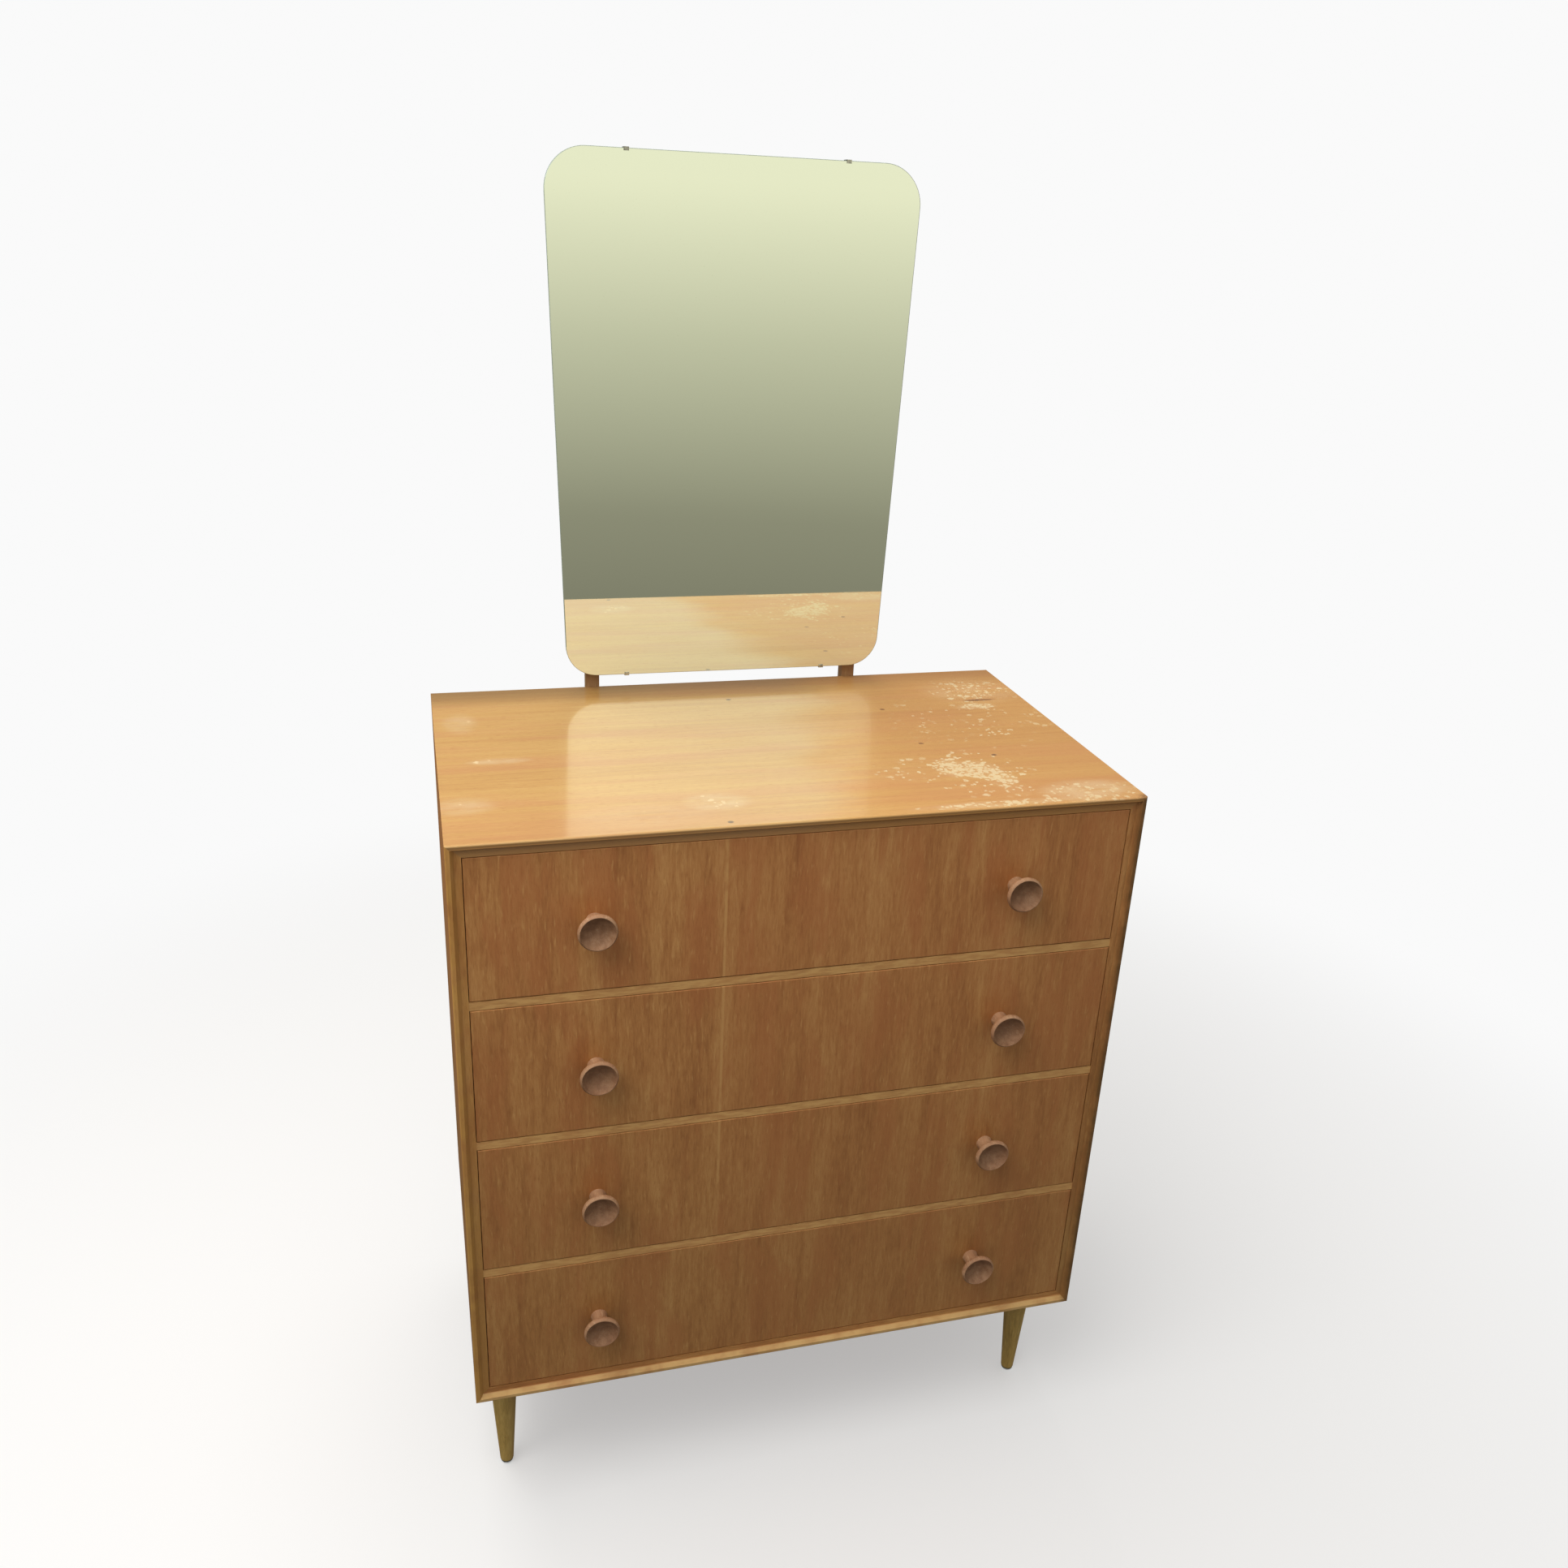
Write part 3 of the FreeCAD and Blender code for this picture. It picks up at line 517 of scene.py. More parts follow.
@dataclass(frozen=True)
class CasePanel(Wood):
    """Panel of the case, rubbed pale in patches along its moulded front edge.

    Painted shade darkens the outer corner of the case on the right, whose bevel faces away from the light,
    and the lower part of the case towards the floor. A depth is counted back from the front edge, and
    a width inwards from the outer side.
    """

    front_y: float = -0.22675
    half_width: float = 0.381
    lip_depth: float = 0.0055
    rub_depth: float = 0.0004
    rub_scale: Triple = (32.0, 32.0, 32.0)
    rubbed: Colour = shade(208, 166, 96)
    # Tone of painted shade: on the right outer corner, under the top's arris and along its back strip.
    painted_shade: Colour = shade(96, 68, 34)
    corner_width: Span = (0.014, 0.002)
    corner_depth: Span = (0.012, 0.004)
    # Share of painted shade towards the floor.
    low_shade: float = 0.3
    wear: float = 0.5

    def surface(self, graph: Graph) -> Surface:
        """Wood, paler towards the front edge by a patchy noise, with painted shade on the right outer
        corner.

        Args:
            graph: The material's graph.

        Returns:
            The worn panel at each point.
        """
        look = super().surface(graph)
        depth = graph.axis(1) - self.front_y
        # Painted shade, darker towards the floor.
        colour = add_low_shade(graph, look.colour, self.low_shade)
        near = depth.rise(self.lip_depth, self.rub_depth)
        patch = graph.noise(self.rub_scale, 3.0, 0.6, (9.3, 1.2, 5.0)).rise(0.3, 0.62)
        worn = near * (patch * 0.6 + 0.4) * self.wear
        colour = graph.mix(worn, colour, self.rubbed)
        # Painted shade on the right outer corner, whose bevel faces away from the light.
        corner = (self.half_width - graph.axis(0)).rise(*self.corner_width)
        corner = corner * depth.rise(*self.corner_depth)
        colour = graph.mix(corner * (patch * 0.4 + 0.5), colour, self.painted_shade)
        return Surface(colour, look.roughness + worn * 0.1, look.relief)


@dataclass(frozen=True)
class Mark:
    """Bleached patch on the top: an ellipse of specks over a faint haze, both denser in its middle."""

    centre: tuple[float, float]
    radii: tuple[float, float]
    density: float
    haze: float = 0.0


@dataclass(frozen=True)
class TopVeneer(CasePanel):
    """Lacquered top with bleached, speckled patches, pale haze, small dark dents and a scratch.

    Two scatters of dots, coarse and fine, show where a dot's random share is below the density that
    the nearest mark gives. A drop is counted down from the upper face.
    """

    top_z: float = 0.9025
    back_y: float = 0.23325
    marks: tuple[Mark, ...] = (
        Mark((0.192, -0.110), (0.022, 0.028), 1.0, 0.7),
        Mark((0.219, -0.118), (0.028, 0.026), 1.0, 0.8),
        Mark((0.236, -0.146), (0.020, 0.028), 0.95, 0.6),
        Mark((0.243, -0.182), (0.016, 0.020), 0.5, 0.2),
        Mark((0.215, -0.125), (0.084, 0.078), 0.17),
        Mark((0.145, -0.108), (0.056, 0.036), 0.17, 0.1),
        Mark((0.304, 0.088), (0.028, 0.010), 0.8, 0.9),
        Mark((0.320, 0.150), (0.064, 0.052), 0.26, 0.5),
        Mark((0.298, -0.007), (0.024, 0.016), 0.3),
        Mark((0.275, 0.040), (0.120, 0.120), 0.10),
        Mark((0.325, -0.199), (0.058, 0.030), 0.3, 1.0),
        Mark((0.210, -0.217), (0.095, 0.008), 0.45, 1.0),
        Mark((-0.351, 0.116), (0.020, 0.034), 0.07, 0.4),
        Mark((-0.313, -0.012), (0.034, 0.009), 0.16, 0.6),
        Mark((-0.359, -0.133), (0.034, 0.022), 0.10, 0.45),
        Mark((-0.096, -0.163), (0.036, 0.022), 0.20, 0.7),
        Mark((-0.180, -0.185), (0.070, 0.030), 0.05, 0.2),
    )
    mark_reach: float = 1.6
    stray_density: float = 0.015
    speck_spacings: tuple[float, ...] = (0.0082, 0.0046)
    speck_warp: float = 0.9
    speck_edge: Span = (0.66, 0.44)
    cloud_scale: Triple = (30.0, 42.0, 30.0)
    streak_scale: Triple = (20.0, 95.0, 30.0)
    smear_scale: Triple = (12.0, 22.0, 12.0)
    bleached: Colour = shade(223, 204, 164)
    dents: tuple[tuple[float, float], ...] = (
        (0.259, -0.079), (-0.093, -0.216), (-0.010, 0.158), (0.178, 0.094), (0.185, -0.030))
    dent_radii: Span = (0.0042, 0.0036)
    scratch: tuple[float, float] = (0.319, 0.1115)
    scratch_radii: Span = (0.026, 0.0042)
    bruised: Colour = shade(92, 56, 36)
    lipping: Colour = shade(176, 122, 66)
    upper_drop: Span = (0.003, 0.0008)
    leaf_drop: Span = (0.0016, 0.0026)
    # Drop of the painted shade line under the arris.
    shade_line_drop: Span = (0.0048, 0.0036)
    lipping_depth: Span = (0.008, 0.005)
    shaded_width: Span = (0.075, 0.005)
    ruddy_span: Span = (0.02, 0.2)
    dull_span: Span = (0.01, 0.12)

    def _patches(self, graph: Graph) -> tuple[Signal, Signal]:
        """The densest specks and the strongest haze that any mark gives.

        A mark gives its all in its middle and nothing where its squared distance passes the reach.

        Args:
            graph: The material's graph.

        Returns:
            The density and the haze.
        """
        near = [graph.spot(mark.centre, mark.radii).rise(self.mark_reach, 0.0) for mark in self.marks]
        density = reduce(Signal.most, (by * mark.density for by, mark in zip(near, self.marks)))
        haze = reduce(Signal.most, (by * mark.haze for by, mark in zip(near, self.marks) if mark.haze))
        return density.most(self.stray_density), haze

    def _specks(self, graph: Graph, density: Signal) -> Signal:
        """Bleached specks: the dots whose random share is below the density, in every scatter.

        Args:
            graph: The material's graph.
            density: Share of the dots that show.

        Returns:
            1 on a speck and 0 beside it.
        """
        scatters = []
        for spacing in self.speck_spacings:
            apart, share = graph.cells(spacing, spacing * self.speck_warp)
            scatters.append(apart.rise(*self.speck_edge) * (density - share).rise(0.0, 0.12))
        return reduce(Signal.most, scatters)

    def _bruises(self, graph: Graph) -> Signal:
        """Small dark dents, and the scratch: 1 inside their ellipses and 0 outside.

        Args:
            graph: The material's graph.

        Returns:
            The sum of all of them.
        """
        bruises = [graph.spot(centre, self.dent_radii).rise(1.0, 0.2) for centre in self.dents]
        bruises.append(graph.spot(self.scratch, self.scratch_radii).rise(1.0, 0.3))
        return reduce(Signal.__add__, bruises)

    def _edged(self, graph: Graph, colour: Signal) -> Signal:
        """Lipping under the leaf on the front edge, with a line of painted shade under the arris along it.

        Args:
            graph: The material's graph.
            colour: Colour of the top so far.

        Returns:
            That colour with the lipping.
        """
        drop = self.top_z - graph.axis(2)
        face = (graph.axis(1) - self.front_y).rise(*self.lipping_depth)
        below = drop.rise(*self.leaf_drop) * face
        shade_line = below * drop.rise(*self.shade_line_drop)
        colour = graph.mix(below * 0.7, colour, self.lipping)
        # Painted shade: a dark line under the arris, where the bevel faces down.
        return graph.mix(shade_line * 0.45, colour, self.painted_shade)

    def surface(self, graph: Graph) -> Surface:
        """Wood, then bleached specks, haze, dents and the scratch above, and the lipping in front.

        The back strip has painted shade and dark reflection, and the right part is ruddier and has lost
        most of its gloss.

        Args:
            graph: The material's graph.

        Returns:
            The lacquered top at each point.
        """
        look = super().surface(graph)
        upper = (self.top_z - graph.axis(2)).rise(*self.upper_drop)
        clouds = graph.noise(self.cloud_scale, 5.0, 0.66, (6.1, 0.4, 3.2), 0.5)
        streaks = graph.noise(self.streak_scale, 5.0, 0.7, (2.2, 5.4, 0.3), 0.4)
        smears = graph.noise(self.smear_scale, 3.0, 0.55, (0.7, 8.8, 3.9))
        density, haze = self._patches(graph)
        bleach = self._specks(graph, density * (clouds * 1.4 + 0.3)) * upper
        haze = haze * (streaks * 0.7 + clouds * 0.6).rise(0.40, 0.82) * upper
        colour = graph.mix(bleach.most(haze) * 0.75, look.colour, self.bleached)
        bruise = self._bruises(graph) * upper
        colour = graph.mix(bruise * 0.85, colour, self.bruised)
        colour = self._edged(graph, colour)
        # Painted shade and dark reflection along the back strip, near the mirror.
        shaded = (self.back_y - graph.axis(1)).rise(*self.shaded_width) * upper
        colour = graph.mix(shaded * 0.55, colour, self.painted_shade)
        across = graph.axis(0) - graph.axis(1) * 0.2 + (smears - 0.5) * 0.1
        ruddy = across.rise(*self.ruddy_span) * (1 - bleach) * upper * 0.35
        colour = graph.mix(ruddy, colour, self.palette.ruddy)
        rough = look.roughness + bleach * 0.35 + haze * 0.2 + (smears - 0.5) * 0.16
        dulled = across.rise(*self.dull_span) * 0.8 + bleach * 0.4
        return Surface(colour, rough, look.relief - bruise * 1.5 - bleach * 0.25,
                       coat=1 - dulled.least(0.8))


@dataclass(frozen=True)
class DrawerVeneer(Wood):
    """Drawer front: two leaves of veneer meet in a pale joint, and a lipping goes round the edges.

    The joint's reach is the distance from it at which its paleness ends, and the one at which it is
    full. The leaf's depth is counted back from the drawer's face.
    """

    joint_x: float = -0.0965
    joint_sway: float = 0.0012
    joint_reach: Span = (0.00242, 0.00055)
    joint_height: Span = (0.335, 0.445)
    leaf_seam: float = 0.0004
    leaf_depth: Span = (0.0008, 0.0012)
    lipping_line: Span = (0.002, 0.08)
    knobs_high: int = 4
    # Offset and radius of the painted shadow round each knob, and the scale of its noise.
    knob_shadow_offset: float = 0.006
    knob_shadow_radius: float = 0.05
    knob_shadow_scale: Triple = (30.0, 30.0, 30.0)
    # Share of painted shade towards the floor.
    low_shade: float = 0.25

    def _joint(self, graph: Graph) -> Signal:
        """Pale joint: a line that sways a little, broken by a noise, and lost towards the floor.

        Args:
            graph: The material's graph.

        Returns:
            1 on the joint and 0 beside it.
        """
        sway = (graph.noise((40.0, 1.0, 160.0), 2.0, 0.6) - 0.5) * self.joint_sway
        away = abs(graph.axis(0) - self.joint_x + sway)
        broken = graph.noise((3.0, 3.0, 30.0), 2.0).rise(0.3, 0.55)
        return away.rise(*self.joint_reach) * graph.axis(2).rise(*self.joint_height) * broken

    def _knob_shadow_and_wear(self, graph: Graph) -> Signal:
        """Round places about the knobs, a little to the right of and below them: painted shadow, and wood
        smoothed where hands touch.

        Args:
            graph: The material's graph.

        Returns:
            1 in their middles, falling to 0 at their radius.
        """
        radii = (self.knob_shadow_radius, self.knob_shadow_radius)
        knob_shadow_patches = []
        for row in range(self.knobs_high):
            height = KNOB_LOWEST + KNOB_STEP * row - self.knob_shadow_offset
            for side in (-1, 1):
                centre = (side * KNOB_OFFSET + self.knob_shadow_offset, height)
                knob_shadow_patches.append(graph.spot(centre, radii, (0, 2)).rise(1.0, 0.12))
        return reduce(Signal.__add__, knob_shadow_patches)

    def surface(self, graph: Graph) -> Surface:
        """Wood, the joint between the leaves, painted shadow round the knobs, and plain lipping.

        Args:
            graph: The material's graph.

        Returns:
            The drawer front at each point.
        """
        look = super().surface(graph)
        palette = self.palette
        joint = self._joint(graph)
        leaf = (graph.axis(0) - self.joint_x).rise(-self.leaf_seam, self.leaf_seam)
        colour = graph.mix(leaf * 0.15, look.colour, palette.ruddy)
        colour = graph.mix(joint * 0.85, colour, palette.light)
        knob_shadow_and_wear = self._knob_shadow_and_wear(graph)
        smear = graph.noise(self.knob_shadow_scale, 3.0).rise(0.3, 0.7)
        # Painted shadow round the knobs.
        colour = graph.mix(knob_shadow_and_wear * smear * 0.3, colour, palette.dark)
        # Painted shade, darker towards the floor.
        colour = add_low_shade(graph, colour, self.low_shade)
        behind = (graph.axis(1) - DRAWER_FACE_Y).rise(*self.leaf_depth)
        lines = graph.noise(Grain.ALONG_X.stretch(*self.lipping_line), 3.0, 0.6)
        lipping = graph.mix(lines.rise(0.3, 0.7), palette.middle, palette.light)
        colour = graph.mix(behind, colour, lipping)
        return Surface(colour, look.roughness - knob_shadow_and_wear * 0.05, look.relief - joint * 0.6)


@dataclass(frozen=True)
class WornRail(Wood):
    """Rails between the drawers, rubbed pale in patches."""

    rubbed: Colour = shade(222, 176, 110)
    rub_scale: Triple = (40.0, 60.0, 240.0)

    def surface(self, graph: Graph) -> Surface:
        """Pale wood, a little paler still in rubbed patches along X.

        Args:
            graph: The material's graph.

        Returns:
            The rail at each point.
        """
        look = super().surface(graph)
        rubs = graph.noise(self.rub_scale, 3.0, 0.6, (3.1, 0.2, 7.7)).rise(0.4, 0.62)
        colour = graph.mix(0.4 + rubs * 0.4, look.colour, self.rubbed)
        return Surface(colour, look.roughness + rubs * 0.08, look.relief - rubs * 0.2)


@dataclass(frozen=True)
class TurnedKnob(Wood):
    """Turned knob, with painted shade inside its dish and under its rim.

    With q = (distance from the knob's axis / reach) squared, the dish is where the height over the
    drawer's face is more than floor + slope * q, which runs between the dish and the waist, and
    where q is inside the mouth.
    """

    reach: float = 0.018
    floor: float = 0.014
    slope: float = 0.010
    floor_fade: float = 0.001
    mouth: Span = (1.15, 1.02)
    rim: Span = (1.0, 1.15)
    underside: Span = (0.1, -0.5)
    cloud_scale: Triple = (160.0, 160.0, 160.0)
    # Tone of the painted shade in the dish and under the rim.
    painted_shade: Colour = shade(98, 60, 36)

    def surface(self, graph: Graph) -> Surface:
        """Wood, mixed with painted shade in the dish and on the lower half of the rim.

        Args:
            graph: The material's graph.

        Returns:
            The knob at each point.
        """
        look = super().surface(graph)
        over = graph.signal("ShaderNodeMath", {"operation": "WRAP"},
                            {0: graph.axis(2) - KNOB_LOWEST, 1: KNOB_STEP / 2, 2: -KNOB_STEP / 2})
        over = over * (1 / self.reach)
        side = (abs(graph.axis(0)) - KNOB_OFFSET) * (1 / self.reach)
        square = side * side + over * over
        height = DRAWER_FACE_Y - graph.axis(1)
        inside = (height - self.floor - square * self.slope).rise(0.0, self.floor_fade)
        inside = inside * square.rise(*self.mouth)
        cloud = graph.noise(self.cloud_scale, 2.0).rise(0.3, 0.7)
        # Painted shade in the dish, a hollow that the light hardly reaches.
        colour = graph.mix(inside * (0.34 + cloud * 0.25), look.colour, self.painted_shade)
        under = square.rise(*self.rim) * over.rise(*self.underside)
        # Painted shade on the lower half of the rim, which faces down.
        colour = graph.mix(under * 0.5, colour, self.painted_shade)
        return Surface(colour, look.roughness + inside * 0.1, look.relief)


@dataclass(frozen=True)
class Board(Finish):
    """Pressed or plied board: fine mottling drawn out along its fibres, and a cloudy tone."""

    name: str
    dark: Colour
    light: Colour
    grain: Grain = Grain.ALONG_X
    fibre_width: float = 0.0016
    fibre_length: float = 0.012
    cloud_scale: Triple = (7.0, 7.0, 7.0)
    roughness: float = 0.7
    bump_depth: float = 0.0002

    def surface(self, graph: Graph) -> Surface:
        """Colour between dark and light by fine and cloudy noise.

        Args:
            graph: The material's graph.

        Returns:
            The board at each point.
        """
        fine = graph.noise(self.grain.stretch(self.fibre_width, self.fibre_length), 3.0, 0.65)
        cloud = graph.noise(self.cloud_scale, 3.0, 0.55, (4.0, 1.0, 2.0))
        tone = 0.5 + (fine - 0.5) * 0.9 + (cloud - 0.5) * 0.35
        colour = graph.mix(tone.rise(0.25, 0.8), self.dark, self.light)
        return Surface(colour, self.roughness + (fine - 0.5) * 0.3, fine)


@dataclass(frozen=True)
class Metal(Finish):
    """Plated steel: fine drawn lines under a cloudy tarnish."""

    name: str
    bright: Colour = shade(196, 194, 188)
    tarnish: Colour = shade(122, 116, 106)
    cloud_scale: Triple = (180.0, 180.0, 180.0)
    line_scale: Triple = (1500.0, 1500.0, 260.0)
    roughness: float = 0.34
    bump_depth: float = 0.00005

    def surface(self, graph: Graph) -> Surface:
        """Bright metal that a cloudy noise dulls.

        Args:
            graph: The material's graph.

        Returns:
            The metal at each point.
        """
        lines = graph.noise(self.line_scale, 2.0, 0.5)
        dull = graph.noise(self.cloud_scale, 3.0, 0.6).rise(0.42, 0.72)
        colour = graph.mix(dull * 0.7, self.bright, self.tarnish)
        return Surface(colour, self.roughness + dull * 0.22 + (lines - 0.5) * 0.12, lines, 1.0)


@dataclass(frozen=True)
class Glide(Finish):
    """Nail-on glide: a dark ring under the wood and a grey metal tread below it."""

    name: str = "glide_metal"
    ring_z: Span = (0.0038, 0.0041)
    scuff_scale: Triple = (300.0, 300.0, 300.0)
    tread: Colour = shade(236, 238, 236)
    scuffed: Colour = shade(186, 188, 184)
    dark_ring_tone: Colour = shade(38, 33, 26)
    bump_depth: float = 0.00005

    def surface(self, graph: Graph) -> Surface:
        """Scuffed metal below the ring's height and a dark tone above it.

        Args:
            graph: The material's graph.

        Returns:
            The glide at each point.
        """
        ring = graph.axis(2).rise(*self.ring_z)
        scuff = graph.noise(self.scuff_scale, 3.0, 0.6)
        metal = graph.mix(scuff.rise(0.4, 0.7), self.tread, self.scuffed)
        colour = graph.mix(ring, metal, self.dark_ring_tone)
        return Surface(colour, 0.4 + scuff * 0.2, scuff, 0.1 - ring * 0.1)


@dataclass(frozen=True)
class MirrorGlass(Finish):
    """Silvered glass: a mirror seen through the front face, green glass at the ground edge."""

    name: str = "silvered_glass"
    front_y: float = 0.22125
    arris: Span = (0.000175, 0.0007)
    smear_scale: Triple = (14.0, 14.0, 9.0)
    dust_scale: Triple = (520.0, 520.0, 520.0)
    silver: Colour = shade(238, 244, 236)
    dusty: Colour = shade(200, 200, 188)
    edge_glass: Colour = shade(166, 190, 172)
    bump_strength: float = 0.02
    bump_depth: float = 0.0001
    ior: float = 1.52

    def surface(self, graph: Graph) -> Surface:
        """Mirror on the front plane, with faint smears and aged dots; glass edge behind it.

        Args:
            graph: The material's graph.

        Returns:
            The glass at each point.
        """
        behind = (graph.axis(1) - self.front_y).rise(*self.arris)
        smear = graph.noise(self.smear_scale, 3.0, 0.6, (1.0, 5.0, 2.0), 0.8)
        dust = graph.noise(self.dust_scale, 1.0).rise(0.71, 0.76)
        colour = graph.mix(dust * 0.18, self.silver, self.dusty)
        colour = graph.mix(behind, colour, self.edge_glass)
        rough = 0.012 + smear.rise(0.45, 0.75) * 0.03 + dust * 0.05 + behind * 0.12
        return Surface(colour, rough, smear, 1 - behind * 0.75)


@dataclass(frozen=True)
class FloorPaint(Finish):
    """Plain pale floor of the studio, which turns into the even backdrop away from the chest."""

    name: str = "studio_floor"
    tone: float = 0.9
    cloud_dip: float = 0.985
    cloud_scale: Triple = (1.3, 1.3, 1.3)
    backdrop: float = 0.955
    centre: tuple[float, float] = (0.0, 0.1)
    near: float = 0.35
    far: float = 1.9
    least_glow: float = 0.4

    def surface(self, graph: Graph) -> Surface:
        """Nearly even pale tone with the faintest cloud.

        Args:
            graph: The material's graph.

        Returns:
            The painted floor at each point.
        """
        cloud = graph.noise(self.cloud_scale, 2.0)
        low = self.tone * self.cloud_dip
        colour = graph.mix(cloud, (low, low, low), (self.tone, self.tone, self.tone))
        return Surface(colour, 0.75, cloud)

    def shader(self, graph: Graph) -> Signal:
        """Painted floor near the chest, blended into a plain glow of the backdrop's tone.

        Args:
            graph: The material's graph.

        Returns:
            The floor's shader mixed with an even emission by the squared distance from the chest.
        """
        paint = super().shader(graph)
        glow = graph.signal("ShaderNodeEmission", None, {"Color": WHITE, "Strength": self.backdrop})
        away = graph.spot(self.centre, (self.far, self.far)).rise((self.near / self.far) ** 2, 1.0)
        share = self.least_glow + away * (1 - self.least_glow)
        return graph.signal("ShaderNodeMixShader", None, {0: share, 1: paint, 2: glow})


def dress(finish: Finish, nodes: Iterable[str], frame: Mapping[str, Any]) -> None:
    """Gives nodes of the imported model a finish.

    Args:
        finish: The look.
        nodes: Names of the nodes.
    """
    material = finish.material()
    for name in nodes:
        mesh = frame["nodes"][name].data
        mesh.materials.clear()
        mesh.materials.append(material)
        LOG.info("dressed %s with %s", name, finish.name)


@dataclass
class Carcass:
    """Case of the chest: mitred panels, rails, runners, back, legs and mirror posts."""

    side_wear: tuple[tuple[str, float], ...] = (("left", 0.6), ("right", 0.0))
    side_lip_depth: float = 0.011
    rails: int = 3

    def _panels(self, frame: Mapping[str, Any]) -> None:
        """Dresses the four mitred panels and their tongues.
        """
        # Each panel is given its own share of painted shade towards the floor; the top has none.
        dress(TopVeneer("top_veneer", Grain.ALONG_X, TOP_TEAK, low_shade=0.0, contrast=0.42, band_width=0.09,
                        stripe_length=0.5, fibre_width=0.0024, fibre_length=0.12, hue_length=0.35,
                        hue_share=0.5, fleck_share=0.3, sheen_roughness=0.34, coat=1.0,
                        coat_roughness=0.11, coat_ior=1.8, bump_strength=0.15), ["top_panel"], frame)
        dress(CasePanel("bottom_veneer", Grain.ALONG_X, rub_depth=0.004, rubbed=shade(212, 174, 114),
                        low_shade=0.15, wear=0.9), ["bottom_panel"], frame)
        for side, wear in self.side_wear:
            dress(CasePanel(f"{side}_side_veneer", Grain.ALONG_Z, lip_depth=self.side_lip_depth,
                            rubbed=shade(204, 156, 78), low_shade=0.45, wear=wear),
                  [f"{side}_side_panel"], frame)
        dress(Board("tongue_ply", shade(170, 132, 90), shade(206, 172, 126)), ["mitre_tongues"], frame)

    def _rails(self, frame: Mapping[str, Any]) -> None:
        """Dresses the rails, their dowels, the runners and the back.
        """
        dress(WornRail("rail_teak", Grain.ALONG_X),
              [f"front_rail_{number}" for number in range(1, self.rails + 1)], frame)
        dress(Wood("beech_across", Grain.ALONG_X, INNER_BEECH, contrast=0.6, sheen_roughness=0.6),
              ["top_back_rail", "low_back_rail", "rail_dowels"], frame)
        dress(Wood("beech_deep", Grain.ALONG_Y, INNER_BEECH, contrast=0.6), ["drawer_runners"], frame)
        dress(Board("back_board", shade(112, 74, 46), shade(156, 110, 72)), ["back_panel"], frame)

    def _legs_and_posts(self, frame: Mapping[str, Any]) -> None:
        """Dresses the legs, their glides, the mirror posts and all of the case's steel.
        """
        dress(Wood("post_teak", Grain.ALONG_Z, POST_TEAK, stripe_width=0.006),
              ["left_mirror_post", "right_mirror_post"], frame)
        dress(Wood("turned_beech", Grain.ALONG_Z, LEG_BEECH, stripe_width=0.006, sheen_roughness=0.46,
                   coat=0.06),
              [f"{end}_{side}_leg" for end in ("front", "back") for side in ("left", "right")], frame)
        dress(Glide(), ["leg_glides"], frame)
        dress(Metal("plated_steel"),
              ["back_panel_pins", "runner_screws", "leg_bolts", "leg_inserts", "post_screws",
               "pivot_screws"], frame)

    def build(self, frame: Mapping[str, Any]) -> None:
        """Dresses all of the case's own nodes.
        """
        self._panels(frame)
        self._rails(frame)
        self._legs_and_posts(frame)


@dataclass
class Drawers:
    """The four drawers: veneered fronts, dovetailed beech sides, ply bottoms and turned knobs."""

    count: int = 4

    def build(self, frame: Mapping[str, Any]) -> None:
        """Dresses the nodes of every drawer.
        """
        front = DrawerVeneer("drawer_veneer", Grain.ALONG_Z, knobs_high=self.count)
        knob = TurnedKnob("turned_teak", Grain.ALONG_Y, KNOB_TEAK, contrast=0.7, stripe_width=0.006,
                          fibre_width=0.001)
        sides = Wood("drawer_side_beech", Grain.ALONG_Y, INNER_BEECH, contrast=0.6, sheen_roughness=0.58)
        ends = Wood("drawer_back_beech", Grain.ALONG_X, INNER_BEECH, contrast=0.6, sheen_roughness=0.58)
        ply = Board("drawer_ply", shade(182, 144, 98), shade(216, 184, 138), fibre_length=0.05)
        steel = Metal("screw_steel")
        for number in range(1, self.count + 1):
            stem = f"drawer_{number}_"
            dress(front, [stem + "front"], frame)
            dress(knob, [stem + "knobs"], frame)
            dress(sides, [stem + "left_side", stem + "right_side"], frame)
            dress(ends, [stem + "back"], frame)
            dress(ply, [stem + "bottom"], frame)
            dress(steel, [stem + "knob_screws"], frame)


@dataclass
class TiltingMirror:
    """Silvered glass on its backing board, with clips, brackets and screws."""

    glass_front_y: float = 0.22125
    board_fibre_length: float = 0.06

    def build(self, frame: Mapping[str, Any]) -> None:
        """Dresses the mirror's nodes.
        """
        dress(MirrorGlass(front_y=self.glass_front_y), ["mirror_glass"], frame)
        dress(Board("mirror_ply", shade(118, 80, 50), shade(158, 114, 74), Grain.ALONG_Z,
                    fibre_length=self.board_fibre_length), ["mirror_backing_board"], frame)
        dress(Metal("clip_steel"), ["mirror_clips", "pivot_brackets", "mirror_screws"], frame)


@dataclass(frozen=True)
class SoftLight:
    """Square soft light that neither the camera nor a reflection sees.

    It has a side in metres and turns about X, Y and Z in degrees. Unturned, it shines down.
    """

    name: str
    place: Triple
    turn: Triple
    side: float
    watts: float
    colour: Colour

    def build(self) -> None:
        """Adds the light to the scene."""
        lamp = bpy.data.lights.new(self.name, "AREA")
        lamp.shape = "SQUARE"
        lamp.size = self.side
        lamp.energy = self.watts
        lamp.color = self.colour
        made = bpy.data.objects.new(self.name, lamp)
        made.location = self.place
        made.rotation_euler = [radians(angle) for angle in self.turn]
        made.visible_camera = False
        made.visible_glossy = False
        bpy.context.scene.collection.objects.link(made)


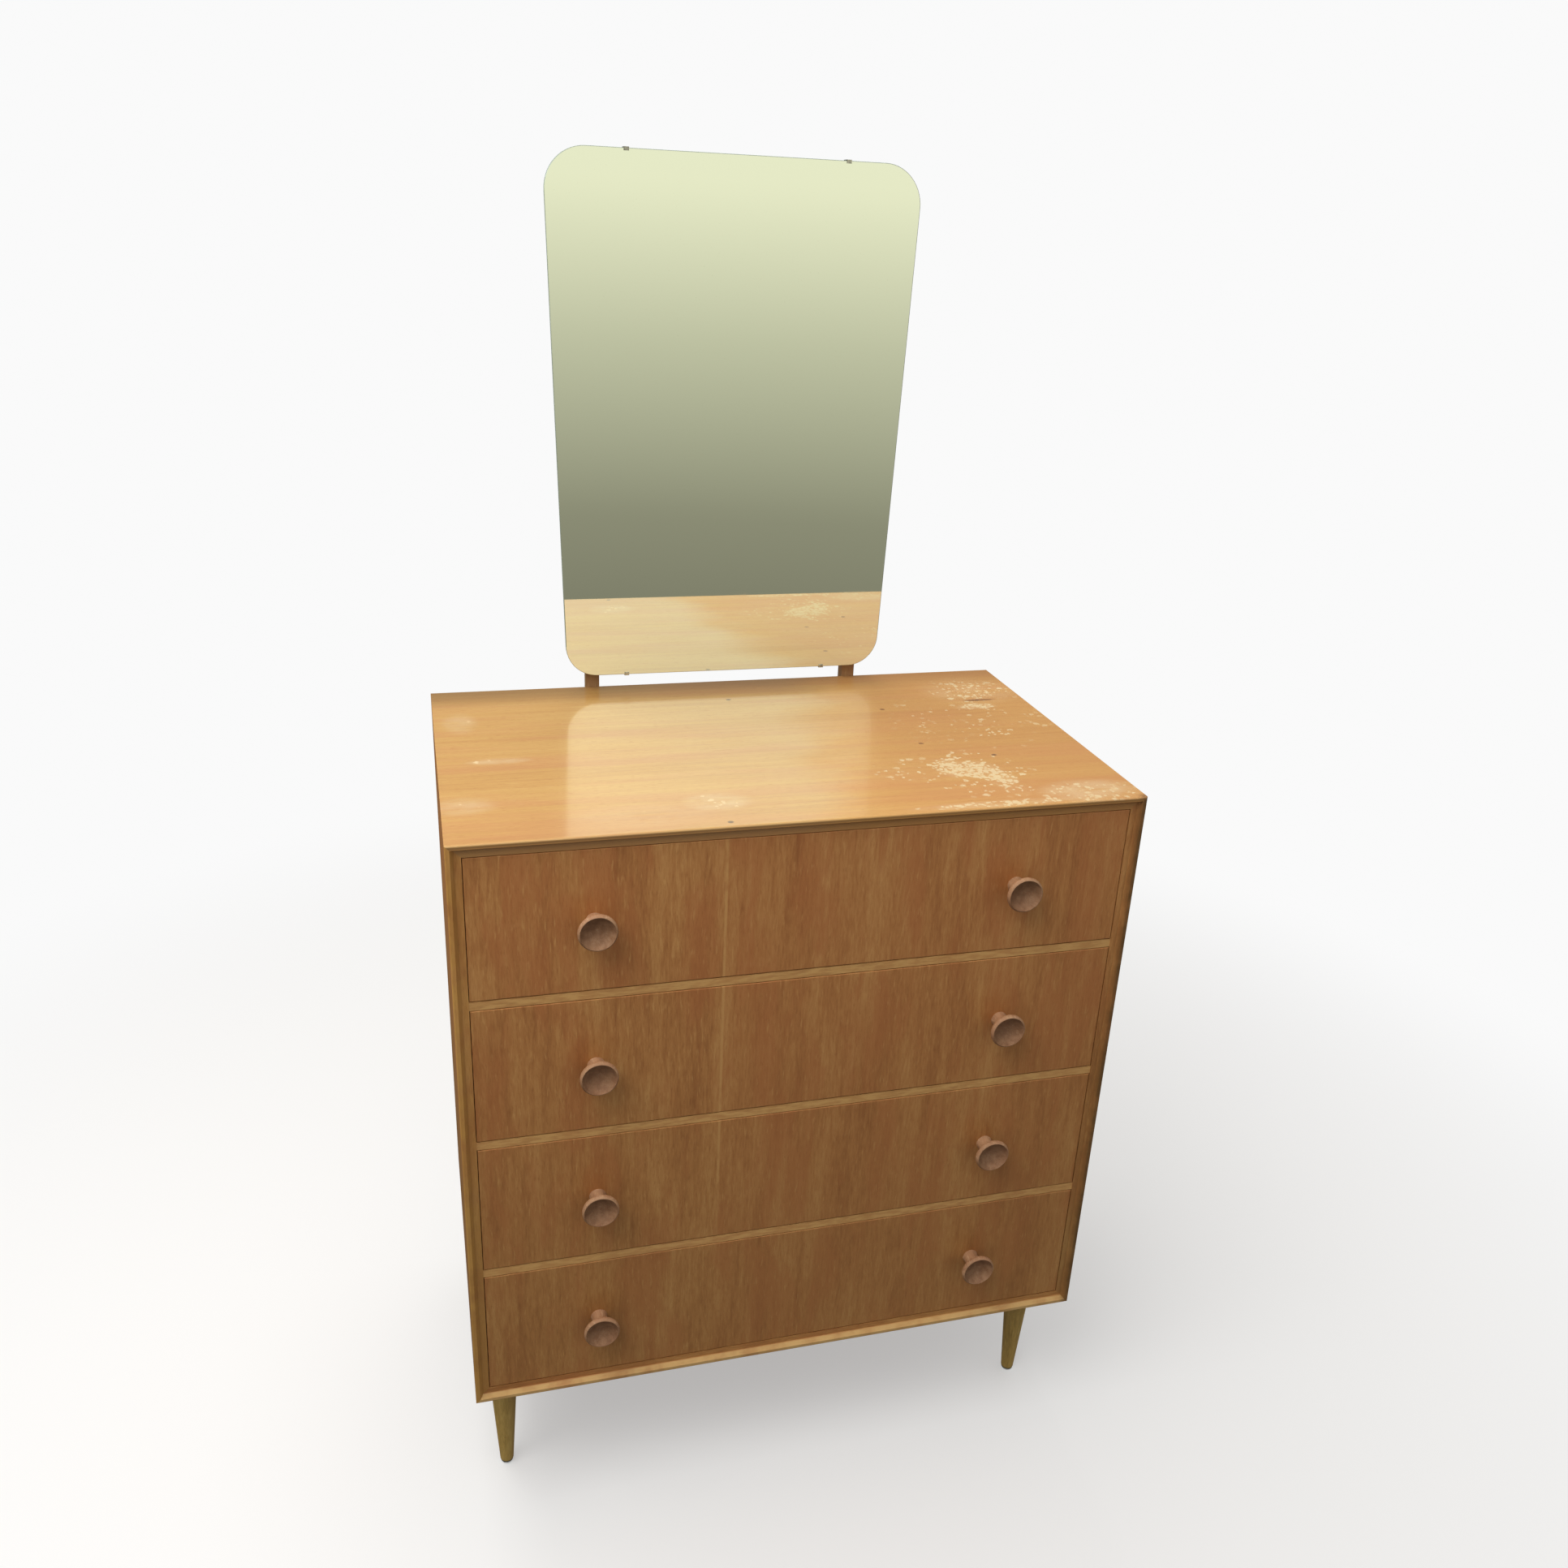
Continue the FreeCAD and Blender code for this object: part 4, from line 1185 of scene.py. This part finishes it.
@dataclass
class Studio:
    """Pale floor, soft light and the camera.

    The sky's tone is a function of the way that a ray goes. The camera sees one even tone, soft light
    comes from a sky that is brighter above, and reflections see a sky that is bright in front of the
    chest and dim behind it. A sky's height is 0 straight down, one half level and 1 straight up.
    """

    floor_half: float = 9.0
    floor_steps: int = 8
    backdrop: float = 0.955
    sky_low: float = 0.14
    sky_high: float = 0.42
    sky_rise: Span = (-0.2, 0.25)
    sky_colour: Colour = (1.0, 0.985, 0.96)
    front_turn: Span = (0.15, -0.15)
    ahead: tuple[Stop, ...] = (
        (0.32, (0.16, 0.15, 0.11)), (0.40, (0.30, 0.29, 0.21)), (0.46, (0.60, 0.59, 0.43)),
        (0.51, (0.92, 0.90, 0.67)), (0.62, (0.96, 0.98, 0.78)), (0.75, (1.04, 1.09, 0.94)),
        (0.82, (0.82, 0.86, 0.75)), (0.97, (0.52, 0.54, 0.47)))
    behind: tuple[Stop, ...] = (
        (0.40, (0.08, 0.075, 0.06)), (0.60, (0.13, 0.12, 0.10)), (0.80, (0.28, 0.27, 0.245)))
    lights: tuple[SoftLight, ...] = (
        SoftLight("overhead_light", (-0.55, 0.75, 3.0), (-12.0, -10.0, 0.0), 2.2, 39.0, (1.0, 0.97, 0.92)),
        SoftLight("front_light", (-1.2, -1.0, 2.8), (34.3, 0.0, -53.1), 1.8, 48.0, (1.0, 0.98, 0.95)))
    camera_place: Triple = (-0.39369, -1.44866, 1.47609)
    camera_turn: Triple = (67.3468, -2.4783, -14.9709)
    lens_mm: float = 30.996
    sensor_mm: float = 36.0
    shift_x: float = 0.0013

    def _floor(self) -> None:
        """Adds the floor: a flat grid, point (u, v) = corner + u * width on X + v * depth on Y."""
        corners = self.floor_steps + 1
        line = np.linspace(-self.floor_half, self.floor_half, corners)
        u, v = np.meshgrid(line, line, indexing="ij")
        points = np.stack([u, v, np.zeros_like(u)], -1).reshape(-1, 3)
        index = np.arange(corners * corners).reshape(corners, corners)
        quads = np.stack([index[:-1, :-1], index[1:, :-1], index[1:, 1:], index[:-1, 1:]], -1)
        mesh = bpy.data.meshes.new("studio_floor_sheet")
        mesh.from_pydata(points.tolist(), [], quads.reshape(-1, 4).tolist())
        mesh.materials.append(FloorPaint(backdrop=self.backdrop).material())
        floor = bpy.data.objects.new("studio_floor_sheet", mesh)
        floor.visible_diffuse = False
        floor.visible_glossy = False
        bpy.context.scene.collection.objects.link(floor)

    def _world(self) -> None:
        """Sets the sky's three tones, chosen by the kind of ray."""
        world = bpy.data.worlds.new("studio_sky")
        world.use_nodes = True
        bpy.context.scene.world = world
        graph = Graph(world.node_tree)
        way = graph.node("ShaderNodeSeparateXYZ",
                         inputs={0: graph.signal("ShaderNodeTexCoord", output="Generated")})
        back, up = Signal(graph, way.outputs[1]), Signal(graph, way.outputs[2])
        soft = self.sky_low + up.rise(*self.sky_rise) * (self.sky_high - self.sky_low)
        height = up * 0.5 + 0.5
        seen = graph.mix(back.rise(*self.front_turn), graph.ramp(height, *self.behind),
                         graph.ramp(height, *self.ahead))
        even = graph.signal("ShaderNodeBackground", None, {"Color": WHITE, "Strength": self.backdrop})
        light = graph.signal("ShaderNodeBackground", None,
                             {"Color": (*self.sky_colour, 1.0), "Strength": soft})
        gloss = graph.signal("ShaderNodeBackground", None, {"Color": seen})
        rays = graph.node("ShaderNodeLightPath")
        is_camera = Signal(graph, rays.outputs["Is Camera Ray"])
        is_glossy = Signal(graph, rays.outputs["Is Glossy Ray"])
        unseen = graph.signal("ShaderNodeMixShader", None, {0: is_glossy, 1: light, 2: gloss})
        both = graph.signal("ShaderNodeMixShader", None, {0: is_camera, 1: unseen, 2: even})
        graph.node("ShaderNodeOutputWorld", None, {"Surface": both})

    def _camera(self) -> None:
        """Adds the camera where the photograph was taken from."""
        lens = bpy.data.cameras.new("photo_camera")
        lens.lens = self.lens_mm
        lens.sensor_width = self.sensor_mm
        lens.shift_x = self.shift_x
        camera = bpy.data.objects.new("photo_camera", lens)
        camera.location = self.camera_place
        camera.rotation_euler = [radians(angle) for angle in self.camera_turn]
        bpy.context.scene.collection.objects.link(camera)
        bpy.context.scene.camera = camera

    def build(self) -> None:
        """Adds the floor, the sky, the lights and the camera."""
        self._floor()
        self._world()
        for light in self.lights:
            light.build()
        self._camera()
        bpy.context.scene.view_settings.view_transform = "Standard"
        LOG.info("studio ready")


def main() -> None:
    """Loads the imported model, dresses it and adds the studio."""
    logging.basicConfig(level=logging.INFO, format="%(message)s")
    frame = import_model()
    Carcass().build(frame)
    Drawers().build(frame)
    TiltingMirror().build(frame)
    Studio().build()


if __name__ == "__main__":
    main()
